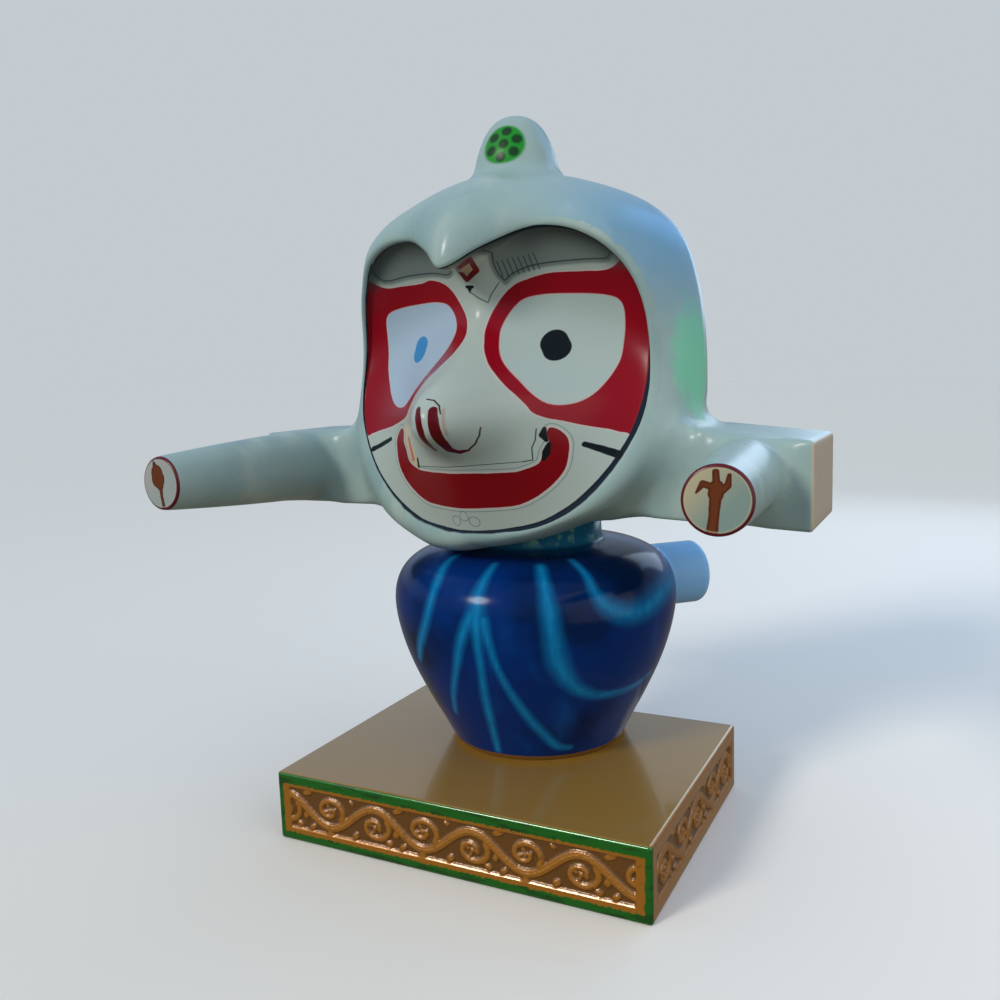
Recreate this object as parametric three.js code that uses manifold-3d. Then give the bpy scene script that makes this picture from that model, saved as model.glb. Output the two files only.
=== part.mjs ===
// A moulded and enamelled figure of Balabhadra: a hooded head with a peaked brow and a rounded nose, a bar
// across the head as upper arms, two tapered forearms pointing forward, a pot-shaped body, and a plinth
// with a running scroll in relief on its four sides.
// Millimetres, +Z up, the figure looks along -Y and its left arm is on +X. The origin is under the plinth's
// middle.
import * as THREE from "three";
import { mergeVertices } from "three/addons/utils/BufferGeometryUtils.js";
import Module from "manifold-3d";

const wasm = await Module();
wasm.setup();

// Overall sizes
const FIT_GAP = 0.3;
const AXIS_Y = 104;

// Plinth
const PLINTH = { width: 670, depth: 502, height: 120, edge: 2 };
const PANEL = { border: 23, recess: 5 };
const SCROLL = { pitch: 91, wave: 24, stem: 6, stemSteps: 5, sink: 1.5, end: 6 };
// The scroll on the long and the short sides: where its first bend is, whether that bend is a crest (1) or
// a trough (-1), and how many bends carry a volute
const LONG_SCROLL = { first: -229, turn: -1, bends: 6 };
const SHORT_SCROLL = { first: -182, turn: 1, bends: 5 };
const VOLUTE = {
  radius: 23, stretch: 1.25, ridge: 5, start: -35, sweep: 365, curl: 0.66, thin: 0.25, drop: 6, steps: 8,
};
const BOSS = { radius: 8, height: 10.4, sink: 4, sides: 5 };
// The buds beside a crest and the leaf beside a trough: place along the stem from the bend's middle, rise
// from its axis, half length, half width, height and lean in degrees
const BUDS = [
  [41, -10, 8, 6, 6, 70], [27, -28, 8, 5, 6, -25], [54, -29, 8, 5, 6, 25], [-40, -28, 8, 6, 6, 30],
];
const LEAF = [-45, 31, 12, 5, 6, 20];

// Body and neck, as radius and height pairs up the axis
const BODY_PROFILE = [
  [0, 120], [154, 120], [160, 126], [178, 162], [206, 215], [233, 275], [251, 333], [258, 385],
  [251, 424], [231, 452], [200, 470], [160, 480], [126, 486], [124, 530], [0, 530],
];
const BODY_SIDES = 38;

// Rounded stubs behind the shoulders
const STUB = { radius: 60, reach: 340, height: 390, azimuth: 45, round: 16, sides: 16 };

// Arms. The bar is moulded a little askew, so its end on the figure's right sits higher
const BAR = {
  half: 513, front: -14, back: 192, rootBottom: 554, rootTop: 693, rootHalf: 310, edge: 6,
  leftBottom: 536, leftTop: 673, rightBottom: 553, rightTop: 684,
};
const FOREARM = {
  tip: [453, -346, 629], tipRadius: 44, root: [406, 60, 621], rootRadius: 66, round: 3, cove: 6, sides: 22,
};

// Knob on the crown
const KNOB_PROFILE = [
  [0, 1085], [87, 1085], [82, 1112], [76, 1140], [69, 1168], [58, 1193], [44, 1210], [24, 1219], [0, 1222],
];
const KNOB_Y = 80;
const KNOB_SIDES = 24;

// Half of the hood's rim from the peak of the brow to the chin, as x, z and how far the hood stands before
// the face
const RIM = [
  [0, 947, 88], [52, 981, 48], [105, 1007, 14], [158, 1006, 16], [203, 983, 19], [236, 945, 14],
  [256, 896, 14], [265, 828, 11], [267, 756, 4], [255, 698, 0], [221, 636, 0], [171, 585, 0],
  [113, 550, 0], [54, 539, 0], [0, 537, 0],
];
// Half of the head's widest outline, one point for each point of the rim
const GIRTH = [
  [0, 1125], [68, 1118], [135, 1100], [202, 1073], [252, 1041], [287, 999], [308, 940], [320, 868],
  [324, 783], [319, 702], [292, 630], [234, 572], [160, 540], [92, 512], [0, 495],
];
const HEAD = {
  girthY: 90, backY: 310, backZ: 700, sides: 52, lip: 4, roundTop: 2, roundSide: 1.15, roundBottom: 3,
};
// The jaw is fuller on the figure's right: how much lower its outline is there, and out to which x
const JAW = { drop: 34, reach: 290, below: 640 };

// The face as a depth over x and z: a broad prow with a rounded nose standing on it
const FACE = { middle: 765, span: 270, ridge: 27 };
const BROW = {
  base: 15.3, lean: -79.6, bow: -104.2, slope: 0.526, slopeLean: 0.113, hollow: -17.6, hollowLean: 5,
};
const PROW = { height: 227, z: 715, up: 130, down: 260, width: 212, widthLean: -69.6 };
const NOSE = { height: 64, z: 711, up: 92, down: 42, width: 66, power: 2.6 };
const FACE_RINGS = [0.05, 0.1, 0.15, 0.2, 0.26, 0.34, 0.44, 0.58, 0.74, 0.9];
const HOOD_STEPS = 6;
const BACK_STEPS = 6;

const bell = (distance, width) => Math.exp(-((distance / width) ** 2));

// Depth of the face at a place in the front view.
function faceDepth(x, z) {
  const u = (z - FACE.middle) / FACE.span;
  const side = (BROW.slope + BROW.slopeLean * u) * (Math.hypot(x, FACE.ridge) - FACE.ridge);
  const hollow = (BROW.hollow + BROW.hollowLean * u) * (x / 100) ** 2;
  const brow = BROW.base + BROW.lean * u + BROW.bow * u * u + side + hollow;
  const rise = bell(z - PROW.z, z > PROW.z ? PROW.up : PROW.down);
  const prow = rise * bell(x, PROW.width + PROW.widthLean * u);
  const fromTip = Math.hypot(x / NOSE.width, (z - NOSE.z) / (z > NOSE.z ? NOSE.up : NOSE.down));
  const nose = Math.exp(-(fromTip ** NOSE.power));
  return brow - PROW.height * prow - NOSE.height * nose;
}

// A closed curve through a half outline and its mirror image.
function mirroredLoop(half, toPoint) {
  const right = half.map(toPoint);
  const left = right.slice(1, -1).reverse().map((p) => new THREE.Vector3(-p.x, p.y, p.z));
  return new THREE.CatmullRomCurve3([...right, ...left], true, "catmullrom", 0.5);
}

// A closed mesh's geometry as a solid, after an optional placing matrix.
function solid(geometry, matrix = new THREE.Matrix4()) {
  const bare = new THREE.BufferGeometry().setIndex(geometry.index);
  bare.setAttribute("position", geometry.getAttribute("position").clone());
  const merged = mergeVertices(bare.applyMatrix4(matrix), 1e-3);
  return new wasm.Manifold(
    new wasm.Mesh({
      numProp: 3,
      vertProperties: new Float32Array(merged.attributes.position.array),
      triVerts: new Uint32Array(merged.index.array),
    }),
  );
}

// A named mesh from a solid.
function meshOf(name, body, material) {
  const data = body.getMesh();
  const geometry = new THREE.BufferGeometry()
    .setAttribute("position", new THREE.BufferAttribute(new Float32Array(data.vertProperties), 3))
    .setIndex(new THREE.BufferAttribute(new Uint32Array(data.triVerts), 1));
  geometry.computeVertexNormals();
  const mesh = new THREE.Mesh(geometry, material);
  mesh.name = name;
  return mesh;
}

// A solid turned about a vertical axis from radius and height pairs.
function turned(profile, sides, y) {
  const points = profile.map(([radius, height]) => new THREE.Vector2(radius, height));
  return solid(new THREE.LatheGeometry(points, sides).rotateX(Math.PI / 2).translate(0, y, 0));
}

// How much lower the head's outline is on the figure's right, between the chin and the cheek.
function jawDrop(x, z) {
  return x < 0 && z < JAW.below ? JAW.drop * Math.sin(Math.PI * Math.min(-x / JAW.reach, 1)) : 0;
}

// The head: rings of points that run over the face, out along the hood's inner wall, over its lip and round
// to the back.
function head() {
  const rim = mirroredLoop(RIM, ([x, z, stand]) => new THREE.Vector3(x, faceDepth(x, z) - stand, z));
  const girth = mirroredLoop(GIRTH, ([x, z]) => new THREE.Vector3(x, HEAD.girthY, z - jawDrop(x, z)));
  const centre = new THREE.Vector2(0, NOSE.z);
  const rings = [];
  const onFace = (share) => (edge) => {
    const x = centre.x + (edge.x - centre.x) * share;
    const z = centre.y + (edge.z - centre.y) * share;
    return new THREE.Vector3(x, faceDepth(x, z), z);
  };
  const tip = new THREE.Vector3(centre.x, faceDepth(centre.x, centre.y), centre.y);
  rings.push(() => tip);
  for (const share of [...FACE_RINGS, 1]) rings.push(onFace(share));
  for (let i = 0; i <= HOOD_STEPS; i++) {
    const turn = (i / HOOD_STEPS) * (Math.PI / 2);
    rings.push((edge, wide, round) => {
      const y = Math.min(edge.y, faceDepth(edge.x, edge.z) - (i === 0 ? 0.5 : 0));
      const lip = HEAD.lip / Math.max(1, edge.distanceTo(wide));
      const across = lip + (1 - lip) * Math.sin(turn) ** (2 / round);
      const along = 1 - Math.cos(turn) ** (2 / round);
      return new THREE.Vector3(
        edge.x + (wide.x - edge.x) * across, y + (wide.y - y) * along, edge.z + (wide.z - edge.z) * across,
      );
    });
  }
  const back = new THREE.Vector3(0, HEAD.backY, HEAD.backZ);
  for (let i = 1; i <= BACK_STEPS; i++) {
    const turn = (i / BACK_STEPS) * (Math.PI / 2);
    const across = i === BACK_STEPS ? 0 : Math.cos(turn);
    rings.push((edge, wide) => new THREE.Vector3(
      back.x + (wide.x - back.x) * across,
      wide.y + (back.y - wide.y) * Math.sin(turn),
      back.z + (wide.z - back.z) * across,
    ));
  }
  const ball = new THREE.SphereGeometry(1, HEAD.sides, rings.length - 1);
  const place = ball.getAttribute("position");
  for (let row = 0, n = 0; row < rings.length; row++)
    for (let side = 0; side <= HEAD.sides; side++, n++) {
      const share = ((HEAD.sides - side) % HEAD.sides) / HEAD.sides;
      const sidewards = Math.sin(2 * Math.PI * share) ** 2;
      const round = share > 0.25 && share < 0.75
        ? HEAD.roundBottom + (HEAD.roundSide - HEAD.roundBottom) * sidewards ** 2
        : HEAD.roundTop + (HEAD.roundSide - HEAD.roundTop) * sidewards;
      const point = rings[row](rim.getPoint(share), girth.getPoint(share), round);
      place.setXYZ(n, point.x, point.y, point.z);
    }
  return solid(ball);
}

// A block of the given depth along +Z over an outline, with soft edges that stand out from the outline.
function block(outline, depth, edge) {
  const shape = new THREE.Shape(outline.map(([x, y]) => new THREE.Vector2(x, y)));
  const bevel = { bevelEnabled: true, bevelSize: edge, bevelThickness: edge, bevelSegments: 2 };
  const solidBlock = new THREE.ExtrudeGeometry(shape, { depth: depth - 2 * edge, steps: 1, ...bevel });
  return solidBlock.translate(0, 0, edge);
}

// The bar across the head that stands for both upper arms.
function armBar() {
  const e = BAR.edge;
  const outline = [
    [-BAR.half + e, BAR.rightBottom + e], [-BAR.rootHalf / 2, BAR.rootBottom + e],
    [BAR.rootHalf / 2, BAR.rootBottom + e], [BAR.half - e, BAR.leftBottom + e],
    [BAR.half - e, BAR.leftTop - e], [BAR.rootHalf, BAR.rootTop - e],
    [-BAR.rootHalf, BAR.rootTop - e], [-BAR.half + e, BAR.rightTop - e],
  ];
  return solid(block(outline, BAR.back - BAR.front, e).rotateX(Math.PI / 2).translate(0, BAR.back, 0));
}

// A tapered forearm from its flat round hand back into the bar, with a cove where it meets the bar.
function forearm(side) {
  const tip = new THREE.Vector3(side * FOREARM.tip[0], FOREARM.tip[1], FOREARM.tip[2]);
  const root = new THREE.Vector3(side * FOREARM.root[0], FOREARM.root[1], FOREARM.root[2]);
  const length = tip.distanceTo(root);
  const met = (BAR.front - tip.y) / (root.y - tip.y);
  const at = (share, extra = 0) => {
    const radius = FOREARM.tipRadius + (FOREARM.rootRadius - FOREARM.tipRadius) * share;
    return new THREE.Vector2(radius + extra, share * length);
  };
  const profile = [
    new THREE.Vector2(0, 0), new THREE.Vector2(FOREARM.tipRadius - FOREARM.round, 0),
    new THREE.Vector2(FOREARM.tipRadius, FOREARM.round),
    at(met / 2), at(met - 0.11), at(met - 0.05, 0.25 * FOREARM.cove), at(met - 0.02, 0.6 * FOREARM.cove),
    at(met + 0.01, FOREARM.cove), at(1), new THREE.Vector2(0, length),
  ];
  const inward = root.sub(tip).normalize();
  const turn = new THREE.Quaternion().setFromUnitVectors(new THREE.Vector3(0, 1, 0), inward);
  const place = new THREE.Matrix4().makeRotationFromQuaternion(turn).setPosition(tip);
  return solid(new THREE.LatheGeometry(profile, FOREARM.sides), place);
}

// A rounded stub that stands out from the back of the body.
function stub(side) {
  const bend = STUB.round;
  const profile = [
    [0, 0], [STUB.radius, 0], [STUB.radius, STUB.reach - bend],
    [STUB.radius - 0.3 * bend, STUB.reach - 0.3 * bend], [STUB.radius - bend, STUB.reach],
    [0, STUB.reach + 2],
  ].map(([radius, along]) => new THREE.Vector2(radius, along));
  const turn = new THREE.Matrix4().makeRotationZ(-side * THREE.MathUtils.degToRad(STUB.azimuth));
  turn.setPosition(0, AXIS_Y, STUB.height);
  return solid(new THREE.LatheGeometry(profile, STUB.sides), turn);
}

// A rod of diamond section along a path in the u-v plane, whose half width may change along it.
function ridge(path, halfWidth, steps) {
  const rod = new THREE.CylinderGeometry(1, 1, 1, 4, steps);
  const place = rod.getAttribute("position");
  for (let n = 0; n < place.count; n++) {
    const share = THREE.MathUtils.clamp(place.getY(n) + 0.5, 0, 1);
    const [u, v] = path(share);
    const [u0, v0] = path(Math.max(0, share - 0.01));
    const [u1, v1] = path(Math.min(1, share + 0.01));
    const length = Math.hypot(u1 - u0, v1 - v0);
    const width = halfWidth(share);
    const across = place.getX(n) * width;
    const [aside, up] = [(across * (v1 - v0)) / length, (across * (u1 - u0)) / length];
    place.setXYZ(n, u + aside, v - up, place.getZ(n) * width);
  }
  return rod;
}

// A low pointed boss at u, v.
function boss(u, v) {
  const cone = new THREE.ConeGeometry(BOSS.radius, BOSS.height, BOSS.sides).rotateX(Math.PI / 2);
  return cone.translate(u, v, BOSS.height / 2 - BOSS.sink);
}

// A leaf or bud at u, v.
function leaf(u, v, [halfLength, halfWidth, height, lean]) {
  const blade = new THREE.OctahedronGeometry(1).scale(halfLength, halfWidth, height);
  return blade.rotateZ(THREE.MathUtils.degToRad(lean)).translate(u, v, 0);
}

// The running scroll for a side whose panel reaches that far each way, in u along the side, v up and w
// outwards: a waving stem, in each bend a volute that curls round a boss, and buds and leaves between them.
function scroll({ first, turn, bends }, reach) {
  const end = reach - SCROLL.end;
  const stem = (share) => {
    const u = end * (2 * share - 1);
    return [u, turn * SCROLL.wave * Math.cos((Math.PI * (u - first)) / SCROLL.pitch)];
  };
  const made = [ridge(stem, () => SCROLL.stem, Math.round((2 * end * SCROLL.stemSteps) / SCROLL.pitch))];
  for (let i = 0; i < bends; i++) {
    const middle = first + i * SCROLL.pitch;
    const up = i % 2 ? -turn : turn;
    const coil = (share) => {
      const angle = THREE.MathUtils.degToRad(VOLUTE.start + VOLUTE.sweep * share);
      const radius = VOLUTE.radius * (1 - VOLUTE.curl * share);
      const [across, rise] = [radius * Math.cos(angle) * VOLUTE.stretch, radius * Math.sin(angle)];
      return [middle + across, -up * (VOLUTE.drop + rise)];
    };
    made.push(ridge(coil, (share) => VOLUTE.ridge * (1 - VOLUTE.thin * share), VOLUTE.steps));
    made.push(boss(middle, -up * VOLUTE.drop));
    for (const [along, rise, ...blade] of up > 0 ? BUDS : [LEAF]) {
      made.push(leaf(middle + along, rise, blade));
    }
  }
  return made;
}

// The plinth: a block with soft edges, a sunk panel on each side and the scroll standing in it.
function plinth() {
  const [x, y] = [PLINTH.width / 2 - PLINTH.edge, PLINTH.depth / 2 - PLINTH.edge];
  let body = solid(block([[-x, -y], [x, -y], [x, y], [-x, y]], PLINTH.height, PLINTH.edge));
  const panelHeight = PLINTH.height - 2 * PANEL.border;
  for (let k = 0; k < 4; k++) {
    const length = k % 2 ? PLINTH.depth : PLINTH.width;
    const reach = (k % 2 ? PLINTH.width : PLINTH.depth) / 2;
    const place = new THREE.Matrix4().makeRotationZ((k * Math.PI) / 2)
      .multiply(new THREE.Matrix4().makeTranslation(0, -reach, PLINTH.height / 2))
      .multiply(new THREE.Matrix4().makeRotationX(Math.PI / 2));
    const panelLength = length - 2 * PANEL.border;
    const recess = new THREE.BoxGeometry(panelLength, panelHeight, 2 * PANEL.recess);
    body = body.subtract(solid(recess, place));
    const sunk = place.multiply(new THREE.Matrix4().makeTranslation(0, 0, -PANEL.recess - SCROLL.sink));
    const pieces = scroll(k % 2 ? SHORT_SCROLL : LONG_SCROLL, panelLength / 2);
    for (const piece of pieces) body = body.add(solid(piece, sunk));
  }
  return body;
}

// The figure: head, knob, arms, body, neck and stubs cast as one.
function figure() {
  const parts = [
    head(), turned(KNOB_PROFILE, KNOB_SIDES, KNOB_Y), armBar(), forearm(1), forearm(-1),
    turned(BODY_PROFILE, BODY_SIDES, AXIS_Y), stub(1), stub(-1),
  ];
  const cast = parts.reduce((all, part) => all.add(part));
  const deck = new THREE.BoxGeometry(PLINTH.width, PLINTH.width, PLINTH.height);
  return cast.subtract(solid(deck.translate(0, AXIS_Y, PLINTH.height / 2 + FIT_GAP)));
}

const enamel = new THREE.MeshStandardMaterial({ color: 0xa9bdb8, roughness: 0.15, metalness: 0 });
const gold = new THREE.MeshStandardMaterial({ color: 0x9a6a1c, roughness: 0.3, metalness: 0.6 });

const model = new THREE.Group();
model.add(meshOf("figure", figure(), enamel));
model.add(meshOf("plinth", plinth(), gold));

export default model;
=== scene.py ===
"""Visual model of a moulded and enamelled Balabhadra figure on its plinth.

Metres, +Z up, the figure looks along -Y and its own left arm is on +X. Sizes in the classes are in
millimetres and are turned to metres where a mesh is made. The figure is one fibreglass casting that was
gel-coated, painted by hand with gloss enamels and set on a separate plinth with a cast scroll border.
"""

import logging
import math
from dataclasses import dataclass, field
from enum import Enum
from typing import Callable, Iterable, Sequence

import bmesh
import bpy
import numpy as np
from mathutils import Matrix, Vector
from mathutils.bvhtree import BVHTree
from mathutils.kdtree import KDTree

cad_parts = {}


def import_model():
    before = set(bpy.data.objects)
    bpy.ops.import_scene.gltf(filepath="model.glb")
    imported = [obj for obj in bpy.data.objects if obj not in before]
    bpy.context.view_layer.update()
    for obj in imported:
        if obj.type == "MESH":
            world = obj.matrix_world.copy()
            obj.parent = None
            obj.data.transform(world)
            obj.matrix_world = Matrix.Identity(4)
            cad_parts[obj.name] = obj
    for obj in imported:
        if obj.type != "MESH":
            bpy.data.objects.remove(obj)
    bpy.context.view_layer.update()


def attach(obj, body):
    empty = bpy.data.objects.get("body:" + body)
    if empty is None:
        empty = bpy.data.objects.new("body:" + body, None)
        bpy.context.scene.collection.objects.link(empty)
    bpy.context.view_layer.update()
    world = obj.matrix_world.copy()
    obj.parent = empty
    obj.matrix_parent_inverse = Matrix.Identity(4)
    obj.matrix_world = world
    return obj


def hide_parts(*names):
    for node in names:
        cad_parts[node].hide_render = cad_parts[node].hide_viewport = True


MM = 0.001
LOG = logging.getLogger("balabhadra")
Place = tuple[float, float, float]
Point2 = tuple[float, float]
Socket = bpy.types.NodeSocket


class Side(Enum):
    """The figure's own left and right, as the sign of X."""

    LEFT = 1
    RIGHT = -1


# ---------------------------------------------------------------------------------------------------------
# Curves and distances
# ---------------------------------------------------------------------------------------------------------


def spline(points: Sequence[Sequence[float]], steps: int, closed: bool) -> np.ndarray:
    """Samples a Catmull-Rom curve through points.

    Args:
        points: the points the curve passes through, of any dimension.
        steps: samples from each point to the next.
        closed: whether the last point leads back to the first.

    Returns:
        The samples, one row each.
    """
    knots = np.array(points, float)
    count = len(knots) if closed else len(knots) - 1
    at = np.arange(count * steps + (0 if closed else 1)) / steps
    return spline_at(knots, at, closed)


def spline_at(knots: np.ndarray, at: np.ndarray, closed: bool) -> np.ndarray:
    """Reads a Catmull-Rom curve at places counted in points.

    Args:
        knots: the points the curve passes through, one row each.
        at: places on the curve, where 2.5 is half way from the third point to the fourth.
        closed: whether the last point leads back to the first.

    Returns:
        One row for each place.
    """
    count = len(knots)
    whole = np.floor(at).astype(int)
    if not closed:
        whole = np.minimum(whole, count - 2)
    share = (at - whole)[:, None]

    def knot(index: np.ndarray) -> np.ndarray:
        """Gives the knots of an index that may run past the ends."""
        return knots[index % count] if closed else knots[np.clip(index, 0, count - 1)]

    before, start, end, after = (knot(whole + step) for step in (-1, 0, 1, 2))
    leave, arrive = (end - before) / 2, (after - start) / 2
    square, cube = share**2, share**3
    return (
        (2 * cube - 3 * square + 1) * start
        + (cube - 2 * square + share) * leave
        + (3 * square - 2 * cube) * end
        + (cube - square) * arrive
    )


def line_distance(places: np.ndarray, line: np.ndarray, closed: bool = False) -> np.ndarray:
    """Measures how far places are from a line of straight stretches.

    Args:
        places: one row for each place.
        line: the line's points, one row each.
        closed: whether the last point leads back to the first.

    Returns:
        The distance of each place.
    """
    nearest = np.full(len(places), np.inf)
    ends = np.roll(line, -1, axis=0) if closed else line[1:]
    for start, end in zip(line, ends):
        along = end - start
        share = np.clip((places - start) @ along / max(float(along @ along), 1e-12), 0, 1)
        nearest = np.minimum(nearest, np.linalg.norm(places - start - share[:, None] * along, axis=1))
    return nearest


def outline_distance(places: np.ndarray, outline: np.ndarray) -> np.ndarray:
    """Measures the distance to a closed outline, negative inside it.

    Args:
        places: two columns.
        outline: the outline's points, two columns.

    Returns:
        The signed distance of each place.
    """
    inside = np.zeros(len(places), bool)
    for start, end in zip(outline, np.roll(outline, -1, axis=0)):
        crosses = (start[1] > places[:, 1]) != (end[1] > places[:, 1])
        slope = (end[0] - start[0]) / (end[1] - start[1] if end[1] != start[1] else 1e-9)
        inside ^= crosses & (places[:, 0] < start[0] + (places[:, 1] - start[1]) * slope)
    return line_distance(places, outline, closed=True) * np.where(inside, -1, 1)


def smoothstep(value: np.ndarray, low: float, high: float) -> np.ndarray:
    """Rises smoothly from 0 at low to 1 at high."""
    share = np.clip((value - low) / (high - low), 0, 1)
    return share * share * (3 - 2 * share)


def bell(distance: np.ndarray, width: float | np.ndarray) -> np.ndarray:
    """A bell curve of a distance, 1 at the middle."""
    return np.exp(-((distance / width) ** 2))


# ---------------------------------------------------------------------------------------------------------
# Meshes
# ---------------------------------------------------------------------------------------------------------


def places_of(mesh: bpy.types.Mesh) -> np.ndarray:
    """Reads a mesh's vertices in millimetres, one row each."""
    flat = np.empty(len(mesh.vertices) * 3)
    mesh.vertices.foreach_get("co", flat)
    return flat.reshape(-1, 3) / MM


def normals_of(mesh: bpy.types.Mesh) -> np.ndarray:
    """Reads a mesh's vertex normals, one row each."""
    flat = np.empty(len(mesh.vertices) * 3)
    mesh.vertices.foreach_get("normal", flat)
    return flat.reshape(-1, 3)


def move_to(mesh: bpy.types.Mesh, places: np.ndarray) -> None:
    """Moves a mesh's vertices.

    Args:
        mesh: the mesh to change.
        places: where its vertices go, in millimetres, one row each.
    """
    mesh.vertices.foreach_set("co", (places * MM).ravel())
    mesh.update()


def piece_from(name: str, bm: bmesh.types.BMesh) -> bpy.types.Object:
    """Turns a bmesh into an object at the origin, with its faces pointing outwards.

    Args:
        name: the object's name.
        bm: the bmesh, which is freed.

    Returns:
        The new object.
    """
    bmesh.ops.recalc_face_normals(bm, faces=bm.faces)
    mesh = bpy.data.meshes.new(name)
    bm.to_mesh(mesh)
    bm.free()
    mesh.shade_smooth()
    piece = bpy.data.objects.new(name, mesh)
    bpy.context.scene.collection.objects.link(piece)
    return piece


def store(mesh: bpy.types.Mesh, name: str, values: np.ndarray) -> None:
    """Stores one number for each vertex, for a material to read.

    Args:
        mesh: the mesh that gets the attribute.
        name: the attribute's name.
        values: one number for each vertex.
    """
    attribute = mesh.attributes.new(name, "FLOAT", "POINT")
    attribute.data.foreach_set("value", values.astype(np.float32))


def carry(places: np.ndarray, values: np.ndarray, wanted: np.ndarray) -> np.ndarray:
    """Carries values from places to the nearest other places.

    Args:
        places: where the values are, one row each.
        values: one number for each place.
        wanted: the places that need a value.

    Returns:
        The value of the place nearest to each.
    """
    tree = KDTree(len(places))
    for index, place in enumerate(places):
        tree.insert(place, index)
    tree.balance()
    return np.array([values[tree.find(place)[1]] for place in wanted])


def merge_solids(base: bpy.types.Object, others: Iterable[bpy.types.Object]) -> None:
    """Joins closed pieces into one skin, so nothing is left inside it.

    Args:
        base: the piece that grows.
        others: the pieces that it takes in. They are removed.
    """
    for other in others:
        union = base.modifiers.new("union", "BOOLEAN")
        union.operation = "UNION"
        union.solver = "MANIFOLD"
        union.object = other
        depsgraph = bpy.context.evaluated_depsgraph_get()
        merged = bpy.data.meshes.new_from_object(base.evaluated_get(depsgraph))
        base.modifiers.clear()
        old = base.data
        base.data = merged
        merged.name = base.name
        bpy.data.meshes.remove(old)
        bpy.data.meshes.remove(other.data)


def signed_reach(tree: BVHTree, place: Vector) -> float:
    """Measures how far a place stands outside a closed surface.

    Args:
        tree: the surface.
        place: the place, in the surface's units.

    Returns:
        The distance, negative inside the surface.
    """
    nearest, normal, _, distance = tree.find_nearest(place)
    return distance if (place - nearest).dot(normal) >= 0 else -distance


def flare(piece: bpy.types.Object, tree: BVHTree, size: float, free: np.ndarray | None = None) -> None:
    """Draws a piece's skin out into a hollow fillet where it meets another surface.

    Both skins follow the curve on which the square roots of their distances add up to the root of the
    fillet's size, so they meet along one tangent. Past it they sink back inside the other form.

    Args:
        piece: the piece to change.
        tree: the other surface, in metres.
        size: how far from the corner the fillet starts, in millimetres.
        free: how freely each vertex may move, from 0 to 1, or None where all are free.
    """
    mesh = piece.data
    places, normals = places_of(mesh), normals_of(mesh)
    free = np.ones(len(places)) if free is None else free
    least = size / 8
    for index in np.flatnonzero(free > 0):
        place, normal = places[index], normals[index]
        start, aim = Vector(place * MM), Vector(normal)
        if tree.find_nearest(start, 1.5 * size * MM)[0] is None:
            continue
        first = signed_reach(tree, start) / MM
        lift = 0.0
        for _ in range(3):
            gap = signed_reach(tree, start + aim * (lift * MM)) / MM
            lift = (math.sqrt(size) - math.sqrt(min(max(gap, least), size))) ** 2
        sink = min(max((first + size / 4) / (least + size / 4), 0), 1)
        places[index] = place + normal * lift * free[index] * sink
    move_to(mesh, places)


def relax(mesh: bpy.types.Mesh, weights: np.ndarray, rounds: int) -> None:
    """Smooths a skin by drawing each vertex towards the middle of its neighbours.

    Args:
        mesh: the mesh to change.
        weights: how strongly each vertex is drawn, from 0 to 1.
        rounds: how often.
    """
    ends = np.empty(2 * len(mesh.edges), int)
    mesh.edges.foreach_get("vertices", ends)
    ends = ends.reshape(-1, 2)
    moving = np.flatnonzero((weights[ends] > 0).any(axis=1))
    start, end = np.concatenate([ends[moving], ends[moving][:, ::-1]]).T
    places = places_of(mesh)
    count = np.maximum(np.bincount(start, minlength=len(places)), 1)
    for _ in range(rounds):
        middle = np.stack([np.bincount(start, places[end, axis], len(places)) / count for axis in range(3)], 1)
        places += (weights / 2)[:, None] * (middle - places)
    move_to(mesh, places)


def seam_weights(mesh: bpy.types.Mesh, trees: Sequence[BVHTree], reach: float) -> np.ndarray:
    """Finds the vertices near the lines where solids met.

    Args:
        mesh: the merged skin.
        trees: the surfaces of the solids before the merge, in metres.
        reach: how far from such a line the weights end, in millimetres.

    Returns:
        A weight for each vertex, 1 on such a line and 0 beyond the reach.
    """
    gaps = np.full((len(mesh.vertices), len(trees)), reach)
    for index, place in enumerate(places_of(mesh) * MM):
        for column, tree in enumerate(trees):
            distance = tree.find_nearest(Vector(place), reach * MM)[3]
            if distance is not None:
                gaps[index, column] = distance / MM
    return 1 - smoothstep(np.sort(gaps, axis=1)[:, 1], reach * 0.25, reach)


def tree_of(piece: bpy.types.Object) -> BVHTree:
    """Makes a search tree of a piece's surface, in metres."""
    bm = bmesh.new()
    bm.from_mesh(piece.data)
    tree = BVHTree.FromBMesh(bm)
    bm.free()
    return tree


def ring_ball(sides: int, rows: int) -> tuple[bmesh.types.BMesh, np.ndarray, np.ndarray]:
    """Makes a ball whose rows and sides are known, to be drawn into another form.

    Args:
        sides: vertices in each row.
        rows: steps from one pole to the other.

    Returns:
        The ball, and the row and the share of a full turn of each vertex.
    """
    bm = bmesh.new()
    bmesh.ops.create_uvsphere(bm, u_segments=sides, v_segments=rows, radius=1.0)
    places = np.array([vert.co for vert in bm.verts])
    row = np.rint(np.arccos(np.clip(places[:, 2], -1, 1)) / math.pi * rows).astype(int)
    side = np.rint(np.arctan2(places[:, 1], places[:, 0]) / (2 * math.pi) * sides).astype(int) % sides
    side[(row == 0) | (row == rows)] = 0
    return bm, row, side / sides


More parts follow.
